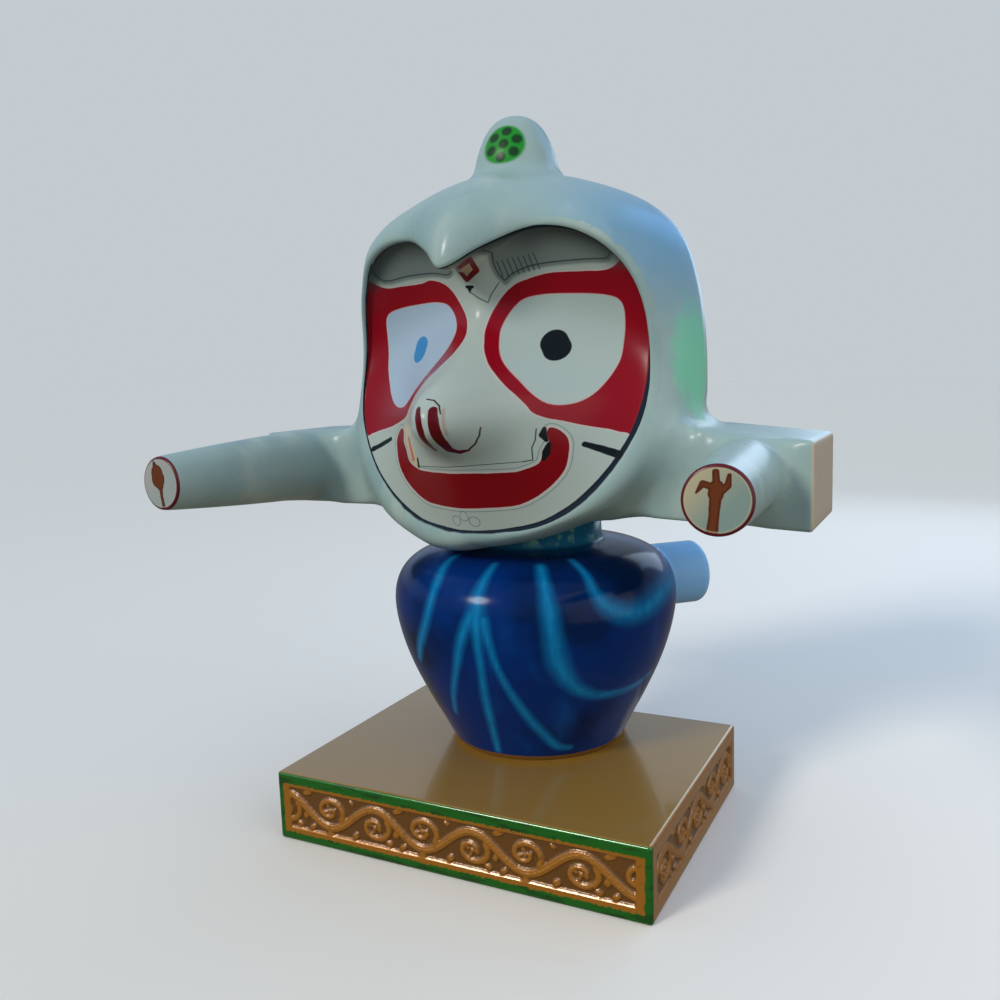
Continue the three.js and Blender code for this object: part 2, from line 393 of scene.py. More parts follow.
def turned_piece(name: str, profile: np.ndarray, sides: int) -> bpy.types.Object:
    """Spins a profile about the Z axis into a closed form.

    Args:
        name: the object's name.
        profile: radius and height pairs in millimetres, whose first and last radius is 0.
        sides: steps of the full turn.

    Returns:
        The new object.
    """
    bm = bmesh.new()
    verts = [bm.verts.new((radius * MM, 0, height * MM)) for radius, height in profile]
    edges = [bm.edges.new(pair) for pair in zip(verts, verts[1:])]
    bmesh.ops.spin(
        bm, geom=verts + edges, axis=(0, 0, 1), cent=(0, 0, 0), angle=2 * math.pi, steps=sides, use_merge=True
    )
    bmesh.ops.remove_doubles(bm, verts=bm.verts, dist=1e-6)
    return piece_from(name, bm)


# ---------------------------------------------------------------------------------------------------------
# Finishes
# ---------------------------------------------------------------------------------------------------------


def linear(colour: str) -> tuple[float, float, float, float]:
    """Turns an sRGB hex colour into the linear numbers that a shader takes.

    Args:
        colour: six hex digits.

    Returns:
        Red, green, blue and alpha.
    """
    channels = [int(colour[i : i + 2], 16) / 255 for i in (0, 2, 4)]
    return tuple(c / 12.92 if c <= 0.04045 else ((c + 0.055) / 1.055) ** 2.4 for c in channels) + (1.0,)


def add_node(
    tree: bpy.types.NodeTree, kind: str, *values: object, out: int | str = 0, named: dict | None = None, **settings: object
) -> Socket:
    """Adds a node with its settings and links.

    Args:
        tree: the node tree that gets it.
        kind: the node's type without its ShaderNode prefix.
        values: what its first inputs get, as numbers or sockets, where None leaves one as it is.
        out: which of its outputs is wanted.
        named: what further inputs get, by their name or place.
        settings: properties of the node itself.

    Returns:
        The output's socket.
    """
    node = tree.nodes.new("ShaderNode" + kind)
    for key, value in settings.items():
        setattr(node, key, value)
    for key, value in [*enumerate(values), *(named or {}).items()]:
        if isinstance(value, bpy.types.NodeSocket):
            tree.links.new(value, node.inputs[key])
        elif value is not None:
            node.inputs[key].default_value = value
    return node.outputs[out] if node.outputs else None


@dataclass(frozen=True)
class Gloss:
    """How a painted surface takes the light.

    ripple is the height in millimetres of the orange peel that a brush or a mould leaves, ripple_size its
    width, and patchy how much the roughness changes from place to place.
    """

    roughness: float
    metallic: float = 0.0
    coat: float = 0.0
    coat_roughness: float = 0.05
    ior: float = 1.5
    ripple: float = 0.0
    ripple_size: float = 30.0
    patchy: float = 0.06


class Paint:
    """A material under construction: colours laid over each other, then lit as one surface."""

    def __init__(self, name: str, ground: str) -> None:
        """Starts with a ground colour.

        Args:
            name: the material's name.
            ground: the sRGB colour of the bare coat.
        """
        self.material = bpy.data.materials.new(name)
        self.material.use_nodes = True
        self.tree = self.material.node_tree
        self.tree.nodes.clear()
        self.place = self.node("TexCoord", out="Object")
        self.colour = self.node("RGB")
        self.colour.default_value = linear(ground)
        self.wander = self.spots(24, 3)

    def node(self, kind: str, *values: object, **rest: object) -> Socket:
        """Adds a node to this material, as add_node does."""
        return add_node(self.tree, kind, *values, **rest)

    def read(self, name: str) -> Socket:
        """Reads a number that the mesh stores."""
        return self.node("Attribute", attribute_name=name, out="Fac")

    def spots(self, size: float, detail: float, stretch: tuple[float, float, float] = (1, 1, 1)) -> Socket:
        """Makes an irregular pattern.

        Args:
            size: the width of its spots in millimetres.
            detail: how many finer layers it has.
            stretch: how much faster it changes along X, Y and Z.

        Returns:
            A value about 0.5, mostly from 0.3 to 0.7.
        """
        mapped = self.node("Mapping", self.place, named={"Scale": stretch})
        return self.node("TexNoise", mapped, named={"Scale": 1 / (size * MM), "Detail": detail}, out="Fac")

    def share(self, value: Socket, low: float, high: float) -> Socket:
        """Turns a value into a share that rises smoothly from 0 at low to 1 at high.

        Args:
            value: the value.
            low: where the share starts.
            high: where it is complete, which may be the lower number.

        Returns:
            The share's socket.
        """
        return self.node("MapRange", value, low, high, interpolation_type="SMOOTHSTEP")

    def cover(self, share: Socket | float, colour: str) -> None:
        """Lays a colour over what is there.

        Args:
            share: how much of it covers, from 0 to 1.
            colour: its sRGB hex value.
        """
        self.colour = self.node(
            "Mix", share, named={6: self.colour, 7: linear(colour)}, out=2, data_type="RGBA"
        )

    def fill(self, distance: Socket, colour: str, soft: float = 0.7, wobble: float = 0.0) -> None:
        """Fills where a signed distance in millimetres is negative.

        Args:
            distance: the distance to the painted edge.
            colour: the sRGB hex value.
            soft: half the width of the edge.
            wobble: how far the edge wanders from its line, as a hand-held brush does.
        """
        if wobble:
            distance = self.node("Math", self.wander, 4 * wobble, distance, operation="MULTIPLY_ADD")
            distance = self.node("Math", distance, 2 * wobble, operation="SUBTRACT")
        self.cover(self.share(distance, soft, -soft), colour)

    def trace(self, distance: Socket, width: float, colour: str, offset: float = 0.0, strength: float = 1.0) -> None:
        """Draws a line along the place where a signed distance has one value.

        Args:
            distance: the distance.
            width: the line's width in millimetres.
            colour: its sRGB hex value.
            offset: the value that it follows.
            strength: how much of it covers.
        """
        away = self.node("Math", distance, offset, operation="SUBTRACT")
        away = self.node("Math", away, operation="ABSOLUTE")
        share = self.share(away, width / 2 + 0.6, max(width / 2 - 0.6, 0))
        self.cover(self.node("Math", share, strength, operation="MULTIPLY"), colour)

    def view_of(self, origin: Sequence[float], right: Sequence[float], up: Sequence[float], mirror: bool = False) -> Socket:
        """Gives places as seen flat on, in millimetres.

        Args:
            origin: the middle of the flat view in millimetres.
            right: its first direction.
            up: its second direction.
            mirror: whether both sides of the middle read as its right side.

        Returns:
            A vector's socket, whose third number is 0.
        """
        local = self.node("VectorMath", self.place, tuple(MM * c for c in origin), operation="SUBTRACT")
        across, rise = (
            self.node("VectorMath", local, tuple(c / MM for c in aim), operation="DOT_PRODUCT", out="Value")
            for aim in (right, up)
        )
        if mirror:
            across = self.node("Math", across, operation="ABSOLUTE")
        return self.node("CombineXYZ", across, rise)

    def brush(self, view: Socket, *lines: Sequence[tuple[float, float, float]]) -> Socket:
        """Measures how far places are from brush strokes.

        Args:
            view: places in a flat view.
            lines: each stroke as points of across, rise and half width, joined by straight stretches.

        Returns:
            The distance from the nearest stroke's edge, negative inside it.
        """
        nearest = None
        stretches = [pair for line in lines for pair in zip(line, line[1:])]
        for (x0, y0, start), (x1, y1, end) in stretches:
            along = Vector((x1 - x0, y1 - y0, 0))
            away = self.node("VectorMath", view, (x0, y0, 0), operation="SUBTRACT")
            unit = tuple(along / max(along.length_squared, 1e-6))
            share = self.node("VectorMath", away, unit, operation="DOT_PRODUCT", out="Value")
            share = self.node("Math", share, 1.0, 0.0, operation="MULTIPLY_ADD", use_clamp=True)
            reach = self.node("VectorMath", tuple(along), named={"Scale": share}, operation="SCALE")
            gap = self.node("VectorMath", away, reach, operation="DISTANCE", out="Value")
            width = self.node("Math", share, end - start, start, operation="MULTIPLY_ADD")
            edge = self.node("Math", gap, width, operation="SUBTRACT")
            nearest = edge if nearest is None else self.node("Math", nearest, edge, operation="MINIMUM")
        return nearest

    def finish(self, gloss: Gloss, dull: Socket | None = None, relief: Socket | None = None) -> bpy.types.Material:
        """Adds the shader.

        Args:
            gloss: how the surface takes the light.
            dull: extra roughness, if any.
            relief: a height in millimetres to add to the ripple, if any.

        Returns:
            The finished material.
        """
        rough = self.node("Math", self.spots(70, 4), 2 * gloss.patchy, gloss.roughness - gloss.patchy, operation="MULTIPLY_ADD")
        if dull is not None:
            rough = self.node("Math", rough, dull, operation="ADD", use_clamp=True)
        shine = {
            "Base Color": self.colour, "Roughness": rough, "Metallic": gloss.metallic, "IOR": gloss.ior,
            "Coat Weight": gloss.coat, "Coat Roughness": gloss.coat_roughness,
        }
        if gloss.ripple:
            height = self.node("Math", self.spots(gloss.ripple_size, 3), gloss.ripple, operation="MULTIPLY")
            if relief is not None:
                height = self.node("Math", height, relief, operation="ADD")
            bump = self.node("Bump", named={"Height": height, "Distance": MM})
            shine |= {"Normal": bump, "Coat Normal": bump}
        shader = self.node("BsdfPrincipled", named=shine)
        self.node("OutputMaterial", shader)
        return self.material


# ---------------------------------------------------------------------------------------------------------
# The figure's head
# ---------------------------------------------------------------------------------------------------------


@dataclass(frozen=True)
class FaceForm:
    """The face as a depth over the front view: a broad prow with a rounded nose standing on it."""

    middle: float = 765
    span: float = 270
    ridge: float = 20
    base: float = 11.5
    lean: float = -79.6
    bow: float = -104.2
    slope: float = 0.526
    slope_lean: float = 0.113
    hollow: float = -17.6
    hollow_lean: float = 5
    prow: float = 227
    prow_z: float = 715
    prow_up: float = 130
    prow_down: float = 260
    prow_width: float = 212
    prow_lean: float = -69.6
    nose: float = 64
    nose_z: float = 711
    nose_up: float = 92
    nose_down: float = 42
    nose_width: float = 66
    nose_power: float = 2.6

    def depth(self, x: np.ndarray, z: np.ndarray) -> np.ndarray:
        """Gives the face's Y in millimetres at places in the front view.

        Args:
            x: distances to the figure's left.
            z: heights.

        Returns:
            The depths.
        """
        u = (z - self.middle) / self.span
        side = (self.slope + self.slope_lean * u) * (np.hypot(x, self.ridge) - self.ridge)
        hollow = (self.hollow + self.hollow_lean * u) * (x / 100) ** 2
        brow = self.base + self.lean * u + self.bow * u * u + side + hollow
        rise = bell(z - self.prow_z, np.where(z > self.prow_z, self.prow_up, self.prow_down))
        prow = rise * bell(x, self.prow_width + self.prow_lean * u)
        from_tip = np.hypot(x / self.nose_width, (z - self.nose_z) / np.where(z > self.nose_z, self.nose_up, self.nose_down))
        return brow - self.prow * prow - self.nose * np.exp(-(from_tip**self.nose_power))


@dataclass
class Head:
    """The hooded head, with the upper arms' bar, the forearms and the crown's knob cast on it."""

    face: FaceForm = field(default_factory=FaceForm)
    # Half of the hood's rim from the brow's peak to the chin: x, z and how far it stands before the face
    rim: tuple = (
        (0, 947, 88), (52, 979, 48), (105, 1003, 14), (158, 1001, 16), (203, 981, 19), (236, 945, 14),
        (256, 896, 14), (265, 828, 11), (267, 756, 4), (255, 698, 0), (221, 636, 0), (171, 585, 0),
        (113, 550, 0), (54, 539, 0), (0, 537, 0),
    )
    girth: tuple = (
        (0, 1125), (68, 1118), (135, 1100), (202, 1073), (252, 1041), (287, 999), (308, 940), (320, 868),
        (324, 783), (319, 702), (292, 630), (234, 572), (160, 540), (92, 512), (0, 495),
    )
    # The jaw is fuller on the figure's right: how much lower it is there, out to which x and up to which z
    jaw_drop: float = 39
    jaw_reach: float = 315
    jaw_top: float = 640
    # The peak of the brow stands a little to the figure's right of the middle
    peak_shift: float = 8
    girth_y: float = 90
    back_y: float = 310
    back_z: float = 700
    lip: float = 7
    round_top: float = 2.0
    round_side: float = 1.15
    round_bottom: float = 3.0
    sides: int = 336
    face_rows: int = 146
    wall_rows: int = 3
    lip_rows: int = 4
    hood_rows: int = 30
    back_rows: int = 22

    knob_profile: tuple = (
        (0, 1060), (90, 1060), (86, 1085), (79, 1112), (72, 1140), (63, 1168), (51, 1193), (36, 1210),
        (19, 1219), (0, 1222),
    )
    knob_y: float = 80

    bar_inner: float = 180
    bar_end: float = 512.7
    bar_front: float = -14
    bar_back: float = 192
    # The bar's underside is level out to a half width and then slopes to its end, and it's a little askew
    bar_level: float = 155
    bar_bottom: float = 554
    bar_root_top: float = 693
    bar_end_bottoms: tuple = (536, 553)
    bar_end_tops: tuple = (673, 687)
    bar_root: float = 310
    bar_edge: float = 7

    hand: tuple = (453, -346, 629)
    hand_radius: float = 44
    elbow: tuple = (406, 60, 620)
    # The right forearm's root is higher
    elbow_lifts: tuple = (0, 8)
    elbow_radii: tuple = (56, 66)
    # How fast the forearm widens behind the hand, where 1 is a plain cone
    arm_swell: float = 1.7
    arm_root_radius: float = 46

    jaw_fillet: float = 42
    elbow_fillet: float = 26
    knob_fillet: float = 16
    seam_reach: float = 34
    seam_rounds: int = 30

    def loop(self, half: Sequence[Sequence[float]], share: np.ndarray) -> np.ndarray:
        """Reads a closed curve through a half outline and its mirror image.

        Args:
            half: rows whose first number is x, from the top to the bottom.
            share: places as shares of the whole loop, clockwise from the top as the viewer sees it.

        Returns:
            One row for each share.
        """
        left = np.array(half, float)
        right = left[-2:0:-1].copy()
        right[:, 0] *= -1
        knots = np.vstack([left, right])
        return spline_at(knots, share * len(knots), closed=True)

    def rim_outline(self) -> np.ndarray:
        """Gives the rim's outline in the front view, for painting."""
        outline = self.loop(self.rim, np.arange(336) / 336)[:, :2]
        outline[:, 0] -= self.peak_shift * bell(outline[:, 0], 60) * (outline[:, 1] > 900)
        return outline

    def shell(self) -> tuple[bpy.types.Object, np.ndarray, np.ndarray]:
        """Builds the head alone, from the nose over the rim to the back.

        Returns:
            The closed head; how freely each vertex may move into a fillet, which isn't at all up to the rim;
            and how far each is outside the rim's inner corner, over the skin in millimetres.
        """
        counts = (self.face_rows, self.wall_rows, self.lip_rows, self.hood_rows, self.back_rows)
        bm, row, share = ring_ball(self.sides, sum(counts))
        rim, girth = self.loop(self.rim, share), self.loop(self.girth, share)
        fuller = self.jaw_drop * np.sin(math.pi * np.clip(-girth[:, 0] / self.jaw_reach, 0, 1))
        girth[:, 1] -= np.where(girth[:, 1] < self.jaw_top, fuller, 0)
        rim[:, 0] -= self.peak_shift * bell(rim[:, 0], 60) * (rim[:, 1] > 900)
        x, z = rim[:, 0], rim[:, 1]
        deep = self.face.depth(x, z)
        outward = girth[:, :2] - rim[:, :2]
        outward /= np.linalg.norm(outward, axis=1)[:, None]
        stand = np.maximum(rim[:, 2], 0)
        lip = np.clip(stand * 0.5, 1.6, self.lip)
        stand = np.maximum(stand, lip + 0.6)
        places = np.zeros((len(row), 3))

        starts = np.cumsum((0,) + counts)
        step = [(row - start) / count for start, count in zip(starts, counts)]
        part = np.clip(np.searchsorted(starts, row, side="left") - 1, 0, 4)

        on = part == 0
        reach = step[0][on]
        places[on, 0] = x[on] * reach
        places[on, 2] = self.face.nose_z + (z[on] - self.face.nose_z) * reach
        places[on, 1] = self.face.depth(places[on, 0], places[on, 2])

        on = part == 1
        places[on, 0], places[on, 2] = x[on], z[on]
        places[on, 1] = deep[on] - (stand[on] - lip[on]) * step[1][on]

        on = part == 2
        turn = step[2][on] * math.pi / 2
        roll = lip[on] * (1 - np.cos(turn))
        places[on, 0], places[on, 2] = x[on] + outward[on, 0] * roll, z[on] + outward[on, 1] * roll
        places[on, 1] = deep[on] - (stand[on] - lip[on]) - lip[on] * np.sin(turn)

        on = part == 3
        sidewards = np.sin(2 * math.pi * share[on]) ** 2
        low = (share[on] > 0.25) & (share[on] < 0.75)
        most = np.where(low, self.round_bottom, self.round_top)
        round_ = most + (self.round_side - most) * np.where(low, sidewards**2, sidewards)
        turn = step[3][on] * math.pi / 2
        across, along = np.sin(turn) ** (2 / round_), 1 - np.cos(turn) ** (2 / round_)
        for axis, column in ((0, 0), (2, 1)):
            start = rim[on, column] + outward[on, column] * lip[on]
            places[on, axis] = start + (girth[on, column] - start) * across
        front = deep[on] - stand[on]
        places[on, 1] = front + (self.girth_y - front) * along

        on = part == 4
        turn = step[4][on] * math.pi / 2
        across = np.cos(turn)
        places[on, 0] = girth[on, 0] * across
        places[on, 1] = self.girth_y + (self.back_y - self.girth_y) * np.sin(turn)
        places[on, 2] = self.back_z + (girth[on, 1] - self.back_z) * across

        for vert, place in zip(bm.verts, places * MM):
            vert.co = place
        free = np.where(part == 3, smoothstep(step[3], 0.04, 0.3), part == 4)
        wall = stand - lip
        inner = -wall - (1 - step[0]) * np.hypot(x, z - self.face.nose_z)
        outer = lip * math.pi / 2
        past = [inner, -wall * (1 - step[1]), outer * step[2], outer + 90 * step[3], outer + 90]
        return piece_from("head_shell", bm), free, np.select([part == n for n in range(5)], past)

    def knob(self) -> bpy.types.Object:
        """Builds the knob on the crown."""
        profile = spline(self.knob_profile[2:], 4, closed=False)
        profile = np.vstack([self.knob_profile[:2], profile])
        profile[:, 0] = np.maximum(profile[:, 0], 0)
        knob = turned_piece("knob", profile, 72)
        knob.data.transform(Matrix.Translation((0, self.knob_y * MM, 0)))
        return knob

    def upper_arm(self, side: Side) -> bpy.types.Object:
        """Builds one half of the bar across the head, with soft edges and a skin fine enough to flare.

        Args:
            side: which arm.

        Returns:
            The closed half bar, from inside the head to its end.
        """
        number = list(Side).index(side)
        end_bottom, end_top = self.bar_end_bottoms[number], self.bar_end_tops[number]
        bm = bmesh.new()
        bmesh.ops.create_cube(bm, size=1.0)
        bmesh.ops.bisect_plane(bm, geom=bm.verts[:] + bm.edges[:] + bm.faces[:], plane_co=(0, 0, 0), plane_no=(1, 0, 0))
        for vert in bm.verts:
            out, back, up = (round(2 * c) for c in vert.co)
            across = {-1: self.bar_inner, 0: self.bar_root, 1: self.bar_end}[out]
            top = end_top if out == 1 else self.bar_root_top
            sloped = (across - self.bar_level) / (self.bar_end - self.bar_level)
            bottom = self.bar_bottom + (end_bottom - self.bar_bottom) * sloped
            y = self.bar_back if back == 1 else self.bar_front
            vert.co = Vector((side.value * across, y, top if up == 1 else bottom)) * MM
        bmesh.ops.recalc_face_normals(bm, faces=bm.faces)
        ends = [e for e in bm.edges if not all(abs(v.co.x) < (self.bar_inner + 1) * MM for v in e.verts)]
        sharp = [e for e in ends if e.calc_face_angle(0) > 0.8]
        bmesh.ops.bevel(
            bm, geom=sharp, offset=self.bar_edge * MM, affect="EDGES", segments=3, profile=0.5, material=-1
        )
        near = max(self.elbow_radii) + self.elbow_fillet
        middle = self.elbow[0] + (self.hand[0] - self.elbow[0]) * 0.2
        lines = np.arange(self.bar_inner + 8, self.bar_end - 9, 4)
        lines = [x for n, x in enumerate(lines) if n % 2 == 0 or abs(x - middle) < near]
        cuts = [((side.value * x, 0, 0), (1, 0, 0)) for x in lines]
        cuts += [((0, y, 0), (0, 1, 0)) for y in np.arange(self.bar_front + 14, self.bar_back - 10, 9)]
        cuts += [((0, 0, z), (0, 0, 1)) for z in np.arange(self.bar_bottom + 8, end_top - 9, 5)]
        for place, normal in cuts:
            geom = bm.verts[:] + bm.edges[:] + bm.faces[:]
            bmesh.ops.bisect_plane(bm, geom=geom, plane_co=Vector(place) * MM, plane_no=normal, dist=1e-6)
        return piece_from("upper_arm", bm)

    def forearm(self, side: Side) -> bpy.types.Object:
        """Builds one tapered forearm, with its flat hand in rings fine enough to paint.

        Args:
            side: which arm.

        Returns:
            The closed forearm.
        """
        tip, root = self.arm_axis(side)
        length = (root - tip).length
        edge = 4
        hand = [(r, 0) for r in np.linspace(0, self.hand_radius - edge, 18)]
        edge_turns = [math.radians(turn) for turn in (30, 60, 90)]
        rounded = [
            (self.hand_radius - edge + edge * math.sin(turn), edge - edge * math.cos(turn)) for turn in edge_turns
        ]
        front = (self.bar_front - tip.y) / (root.y - tip.y)
        shares = np.hstack([np.linspace(0.03, front - 0.12, 22), np.linspace(front - 0.11, front + 0.04, 26)])
        widest = self.elbow_radii[list(Side).index(side)]
        swell = (widest - self.hand_radius) * (1 - (1 - shares) ** self.arm_swell)
        shaft = [*zip(self.hand_radius + swell, shares * length), (self.arm_root_radius, length)]
        profile = np.array(hand + rounded + shaft + [(0, length)])
        arm = turned_piece("forearm", profile, 88)
        turn = Vector((0, 0, 1)).rotation_difference((root - tip).normalized())
        arm.data.transform(Matrix.Translation(tip * MM) @ turn.to_matrix().to_4x4())
        return arm

    def arm_axis(self, side: Side) -> tuple[Vector, Vector]:
        """Gives a forearm's tip and root in millimetres."""
        sign = Vector((side.value, 1, 1))
        lift = Vector((0, 0, self.elbow_lifts[list(Side).index(side)]))
        return Vector(self.hand) * sign, Vector(self.elbow) * sign + lift

    def build(self) -> bpy.types.Object:
        """Builds the head, arms and knob as one skin.

        Returns:
            The piece, without its paint.
        """
        (shell, free, past_rim), knob = self.shell(), self.knob()
        uppers = {side: self.upper_arm(side) for side in Side}
        fores = {side: self.forearm(side) for side in Side}
        head_tree, knob_tree = tree_of(shell), tree_of(knob)
        upper_trees = {side: tree_of(piece) for side, piece in uppers.items()}
        fore_trees = {side: tree_of(piece) for side, piece in fores.items()}
        for side in Side:
            flare(shell, upper_trees[side], self.jaw_fillet, free)
            flare(uppers[side], head_tree, self.jaw_fillet)
            # The elbow's fillet stays between the bar's flat top and underside
            front = smoothstep(np.abs(normals_of(uppers[side].data)[:, 1]), 0.5, 1)
            beside = 1 - smoothstep(np.abs(normals_of(fores[side].data)[:, 2]), 0.6, 0.95)
            flare(uppers[side], fore_trees[side], self.elbow_fillet, front)
            flare(fores[side], upper_trees[side], self.elbow_fillet, beside)
        flare(shell, knob_tree, self.knob_fillet)
        flare(knob, head_tree, self.knob_fillet)
        skin = places_of(shell.data)
        trees = [tree_of(piece) for piece in (shell, *uppers.values(), *fores.values(), knob)]
        merge_solids(shell, [*uppers.values(), *fores.values(), knob])
        shell.name = shell.data.name = "head_and_arms"
        past = carry(skin, past_rim, places_of(shell.data))
        store(shell.data, "past_rim", past)
        weights = seam_weights(shell.data, trees, self.seam_reach) * smoothstep(past, 14, 40)
        relax(shell.data, weights, self.seam_rounds)
        return shell


# ---------------------------------------------------------------------------------------------------------
# The enamels of the figure
# ---------------------------------------------------------------------------------------------------------


@dataclass(frozen=True)
class PaleEnamel:
    """Gloss enamel brushed over gel coat: pale grey-green, a little uneven, with a soft orange peel.

    It mirrors the lights as a wet-looking sheen and shows faint cloudy patches where the coat is thin.
    """

    ground: str = "97AFAC"
    thick: str = "86A3A3"
    thin: str = "A9BCB4"
    # Colours of two painted reflections: green surroundings beside the left cheek, and blue sky above it
    green: str = "72CBA2"
    sky_reflection: str = "4C93C4"
    bar_end: str = "BBAE98"
    gloss: Gloss = Gloss(roughness=0.3, ior=1.4, ripple=0.25, ripple_size=46)

    def start(self, name: str) -> Paint:
        """Lays the bare coat with its cloudy patches.

        Args:
            name: the material's name.

        Returns:
            The paint, ready for what is painted on it.
        """
        paint = Paint(name, self.ground)
        paint.cover(paint.share(paint.spots(150, 4), 0.45, 0.7), self.thick)
        paint.cover(paint.share(paint.spots(90, 4, (1, 1, 0.4)), 0.52, 0.75), self.thin)
        return paint

    def material(self) -> bpy.types.Material:
        """Makes the enamel of the hood, crown and arms, with a painted green reflection beside the left cheek, a
        painted blue sky reflection above it and beige on the left bar's end face.
        """
        paint = self.start("pale_gloss_enamel")
        # Painted reflection of green surroundings, a soft patch beside the left cheek
        away = paint.node("VectorMath", paint.place, tuple(MM * c for c in (318, 60, 800)), operation="SUBTRACT")
        away = paint.node("VectorMath", away, (1 / 0.075, 1 / 0.06, 1 / 0.11), operation="MULTIPLY")
        away = paint.node("VectorMath", away, operation="LENGTH", out="Value")
        away = paint.node("Math", paint.wander, 0.8, away, operation="MULTIPLY_ADD")
        green_reflection = paint.node("Math", paint.share(away, 1.5, 0.9), 0.8, operation="MULTIPLY")
        paint.cover(green_reflection, self.green)
        across, back, height = (paint.node("SeparateXYZ", paint.place, out=n) for n in range(3))
        # Painted reflection of blue sky over the upper left of the hood, towards the front
        sky_reflection = paint.node("Math", paint.share(across, 0.06, 0.32), paint.share(height, 0.8, 1.02), operation="MULTIPLY")
        sky_reflection = paint.node("Math", sky_reflection, paint.share(back, 0.3, 0.12), operation="MULTIPLY")
        paint.cover(paint.node("Math", sky_reflection, 0.75, operation="MULTIPLY"), self.sky_reflection)
        paint.cover(paint.share(across, 0.508, 0.5115), self.bar_end)
        return paint.finish(self.gloss)


@dataclass(frozen=True)
class FacePaint:
    """The painted face: white enamel with red bands round the eyes, a red mouth and fine black lines.

    The same high gloss as the hood, with the slightly wandering edges of a hand-held brush. Outlines are
    x and z in millimetres on the front view; those of one half are mirrored.
    """

    white: str = "A9B6AF"
    eye: str = "A6B7B3"
    # The right eye's white is tinted with this blue as a painted reflection of the sky
    sky_reflection_eye: str = "A2B8CA"
    red: str = "8A0519"
    mouth_red: str = "7C0410"
    black: str = "0B1418"
    navy: str = "101F2E"
    # The right pupil is painted this blue instead of black, as a painted reflection of the sky
    blue: str = "3A86BE"
    thin_red: str = "5A0810"
    cream: str = "CDB9B4"
    eye_white: tuple = (
        (74, 904), (104, 909), (150, 908), (185, 905), (212, 898), (222, 884), (223, 857), (221, 830),
        (218, 803), (208, 780), (193, 757), (175, 742), (153, 736), (131, 739), (111, 754), (91, 775),
        (70, 796), (55, 815), (46, 835), (42, 857), (48, 877), (59, 893),
    )
    # The band round the left eye, and where the one round the right eye differs from its mirror image
    eye_band: tuple = (
        (300, 975), (247, 968), (228, 952), (206, 941), (174, 941), (123, 942), (96, 938), (68, 930), (50, 919),
        (35, 902), (23, 880), (19, 856), (26, 832), (38, 812), (54, 792), (84, 760), (104, 739), (114, 725),
        (131, 716), (155, 709), (183, 701), (212, 695), (239, 688), (300, 680),
    )
    right_band: tuple = (
        (98, 945), (68, 936), (48, 918), (34, 898), (20, 878), (13, 858), (13, 838), (22, 814), (42, 790),
    )
    right_band_at: tuple = (6, 15)
    pupils: tuple = (((126, 823, 19.3), (119.5, 834, 19.3)), ((-134, 838, 16.5), (-135, 826, 16.5)))
    mouth: tuple = (
        (0, 576), (53, 577), (86, 581), (114, 595), (138, 615), (154, 638), (159, 665), (158, 682),
        (149, 695), (136, 702), (130, 694), (133, 680), (126, 667), (122, 653), (116, 645), (99, 638),
        (78, 634), (22, 635), (0, 635),
    )
    brow_left: tuple = (
        (46, 926), (62, 937), (90, 947), (125, 951), (175, 952), (206, 951), (217, 957), (232, 985),
        (205, 1010), (157, 1030), (105, 1032), (70, 1015), (40, 990), (32, 952),
    )
    brow_right: tuple = (
        (-42, 990), (-70, 1015), (-105, 1032), (-157, 1030), (-205, 1010), (-225, 975), (-205, 947), (-150, 950),
        (-90, 949), (-50, 943), (-36, 958),
    )
    gloss: Gloss = Gloss(roughness=0.22, ior=1.28, ripple=0.2, ripple_size=46, patchy=0.04)

    def mark(self, mesh: bpy.types.Mesh, rim: np.ndarray) -> np.ndarray:
        """Stores the distances that the painted edges follow.

        Args:
            mesh: the skin of the head.
            rim: the rim's outline in the front view.

        Returns:
            The distance outside the rim for each vertex, large behind the face.
        """
        places = places_of(mesh)
        past = np.empty(len(places))
        mesh.attributes["past_rim"].data.foreach_get("value", past)
        front = places[:, 1] < 60
        flat = places[front][:, (0, 2)]
        rim_distance = outline_distance(flat, rim)
        near = rim_distance < 30
        mirror = np.array((-1, 1))
        mouth = np.vstack([self.mouth, self.mouth[-2:0:-1] * mirror])
        start, end = self.right_band_at
        right_band = (*self.eye_band[:start], *self.right_band, *self.eye_band[end:])
        outlines = {
            "red_band": (self.eye_band, right_band * mirror), "eye_white": (self.eye_white, self.eye_white * mirror),
            "mouth": (mouth,), "brow_left": (self.brow_left,), "brow_right": (self.brow_right,),
        }
        for name, parts in outlines.items():
            distance = np.full(len(flat), 100.0)
            for part in parts:
                away = outline_distance(flat[near], spline(part, 3, closed=True))
                distance[near] = np.minimum(distance[near], away)
            values = np.full(len(places), 100.0)
            values[front] = np.maximum(distance, past[front])
            store(mesh, name, values)
        values = np.full(len(places), 100.0)
        values[front] = rim_distance
        return values

    def material(self, ground: PaleEnamel, upper: bool) -> bpy.types.Material:
        """Paints the upper or the lower half of the face.

        Args:
            ground: the enamel of the hood, which shows on the rim.
            upper: whether this is the half with the brows, or the one with the nose and mouth.

        Returns:
            The finished material.
        """
        paint = ground.start("upper_face_enamel" if upper else "lower_face_enamel")
        rim = paint.read("past_rim")
        paint.fill(rim, self.white)
        view = paint.view_of((0, 0, 0), (1, 0, 0), (0, 0, 1))
        self.eyes(paint, view)
        if upper:
            self.brows(paint, view, rim)
        else:
            self.nose(paint, view)
            self.lips(paint, view)
        return paint.finish(self.gloss, dull=self.edge(paint, view, rim))

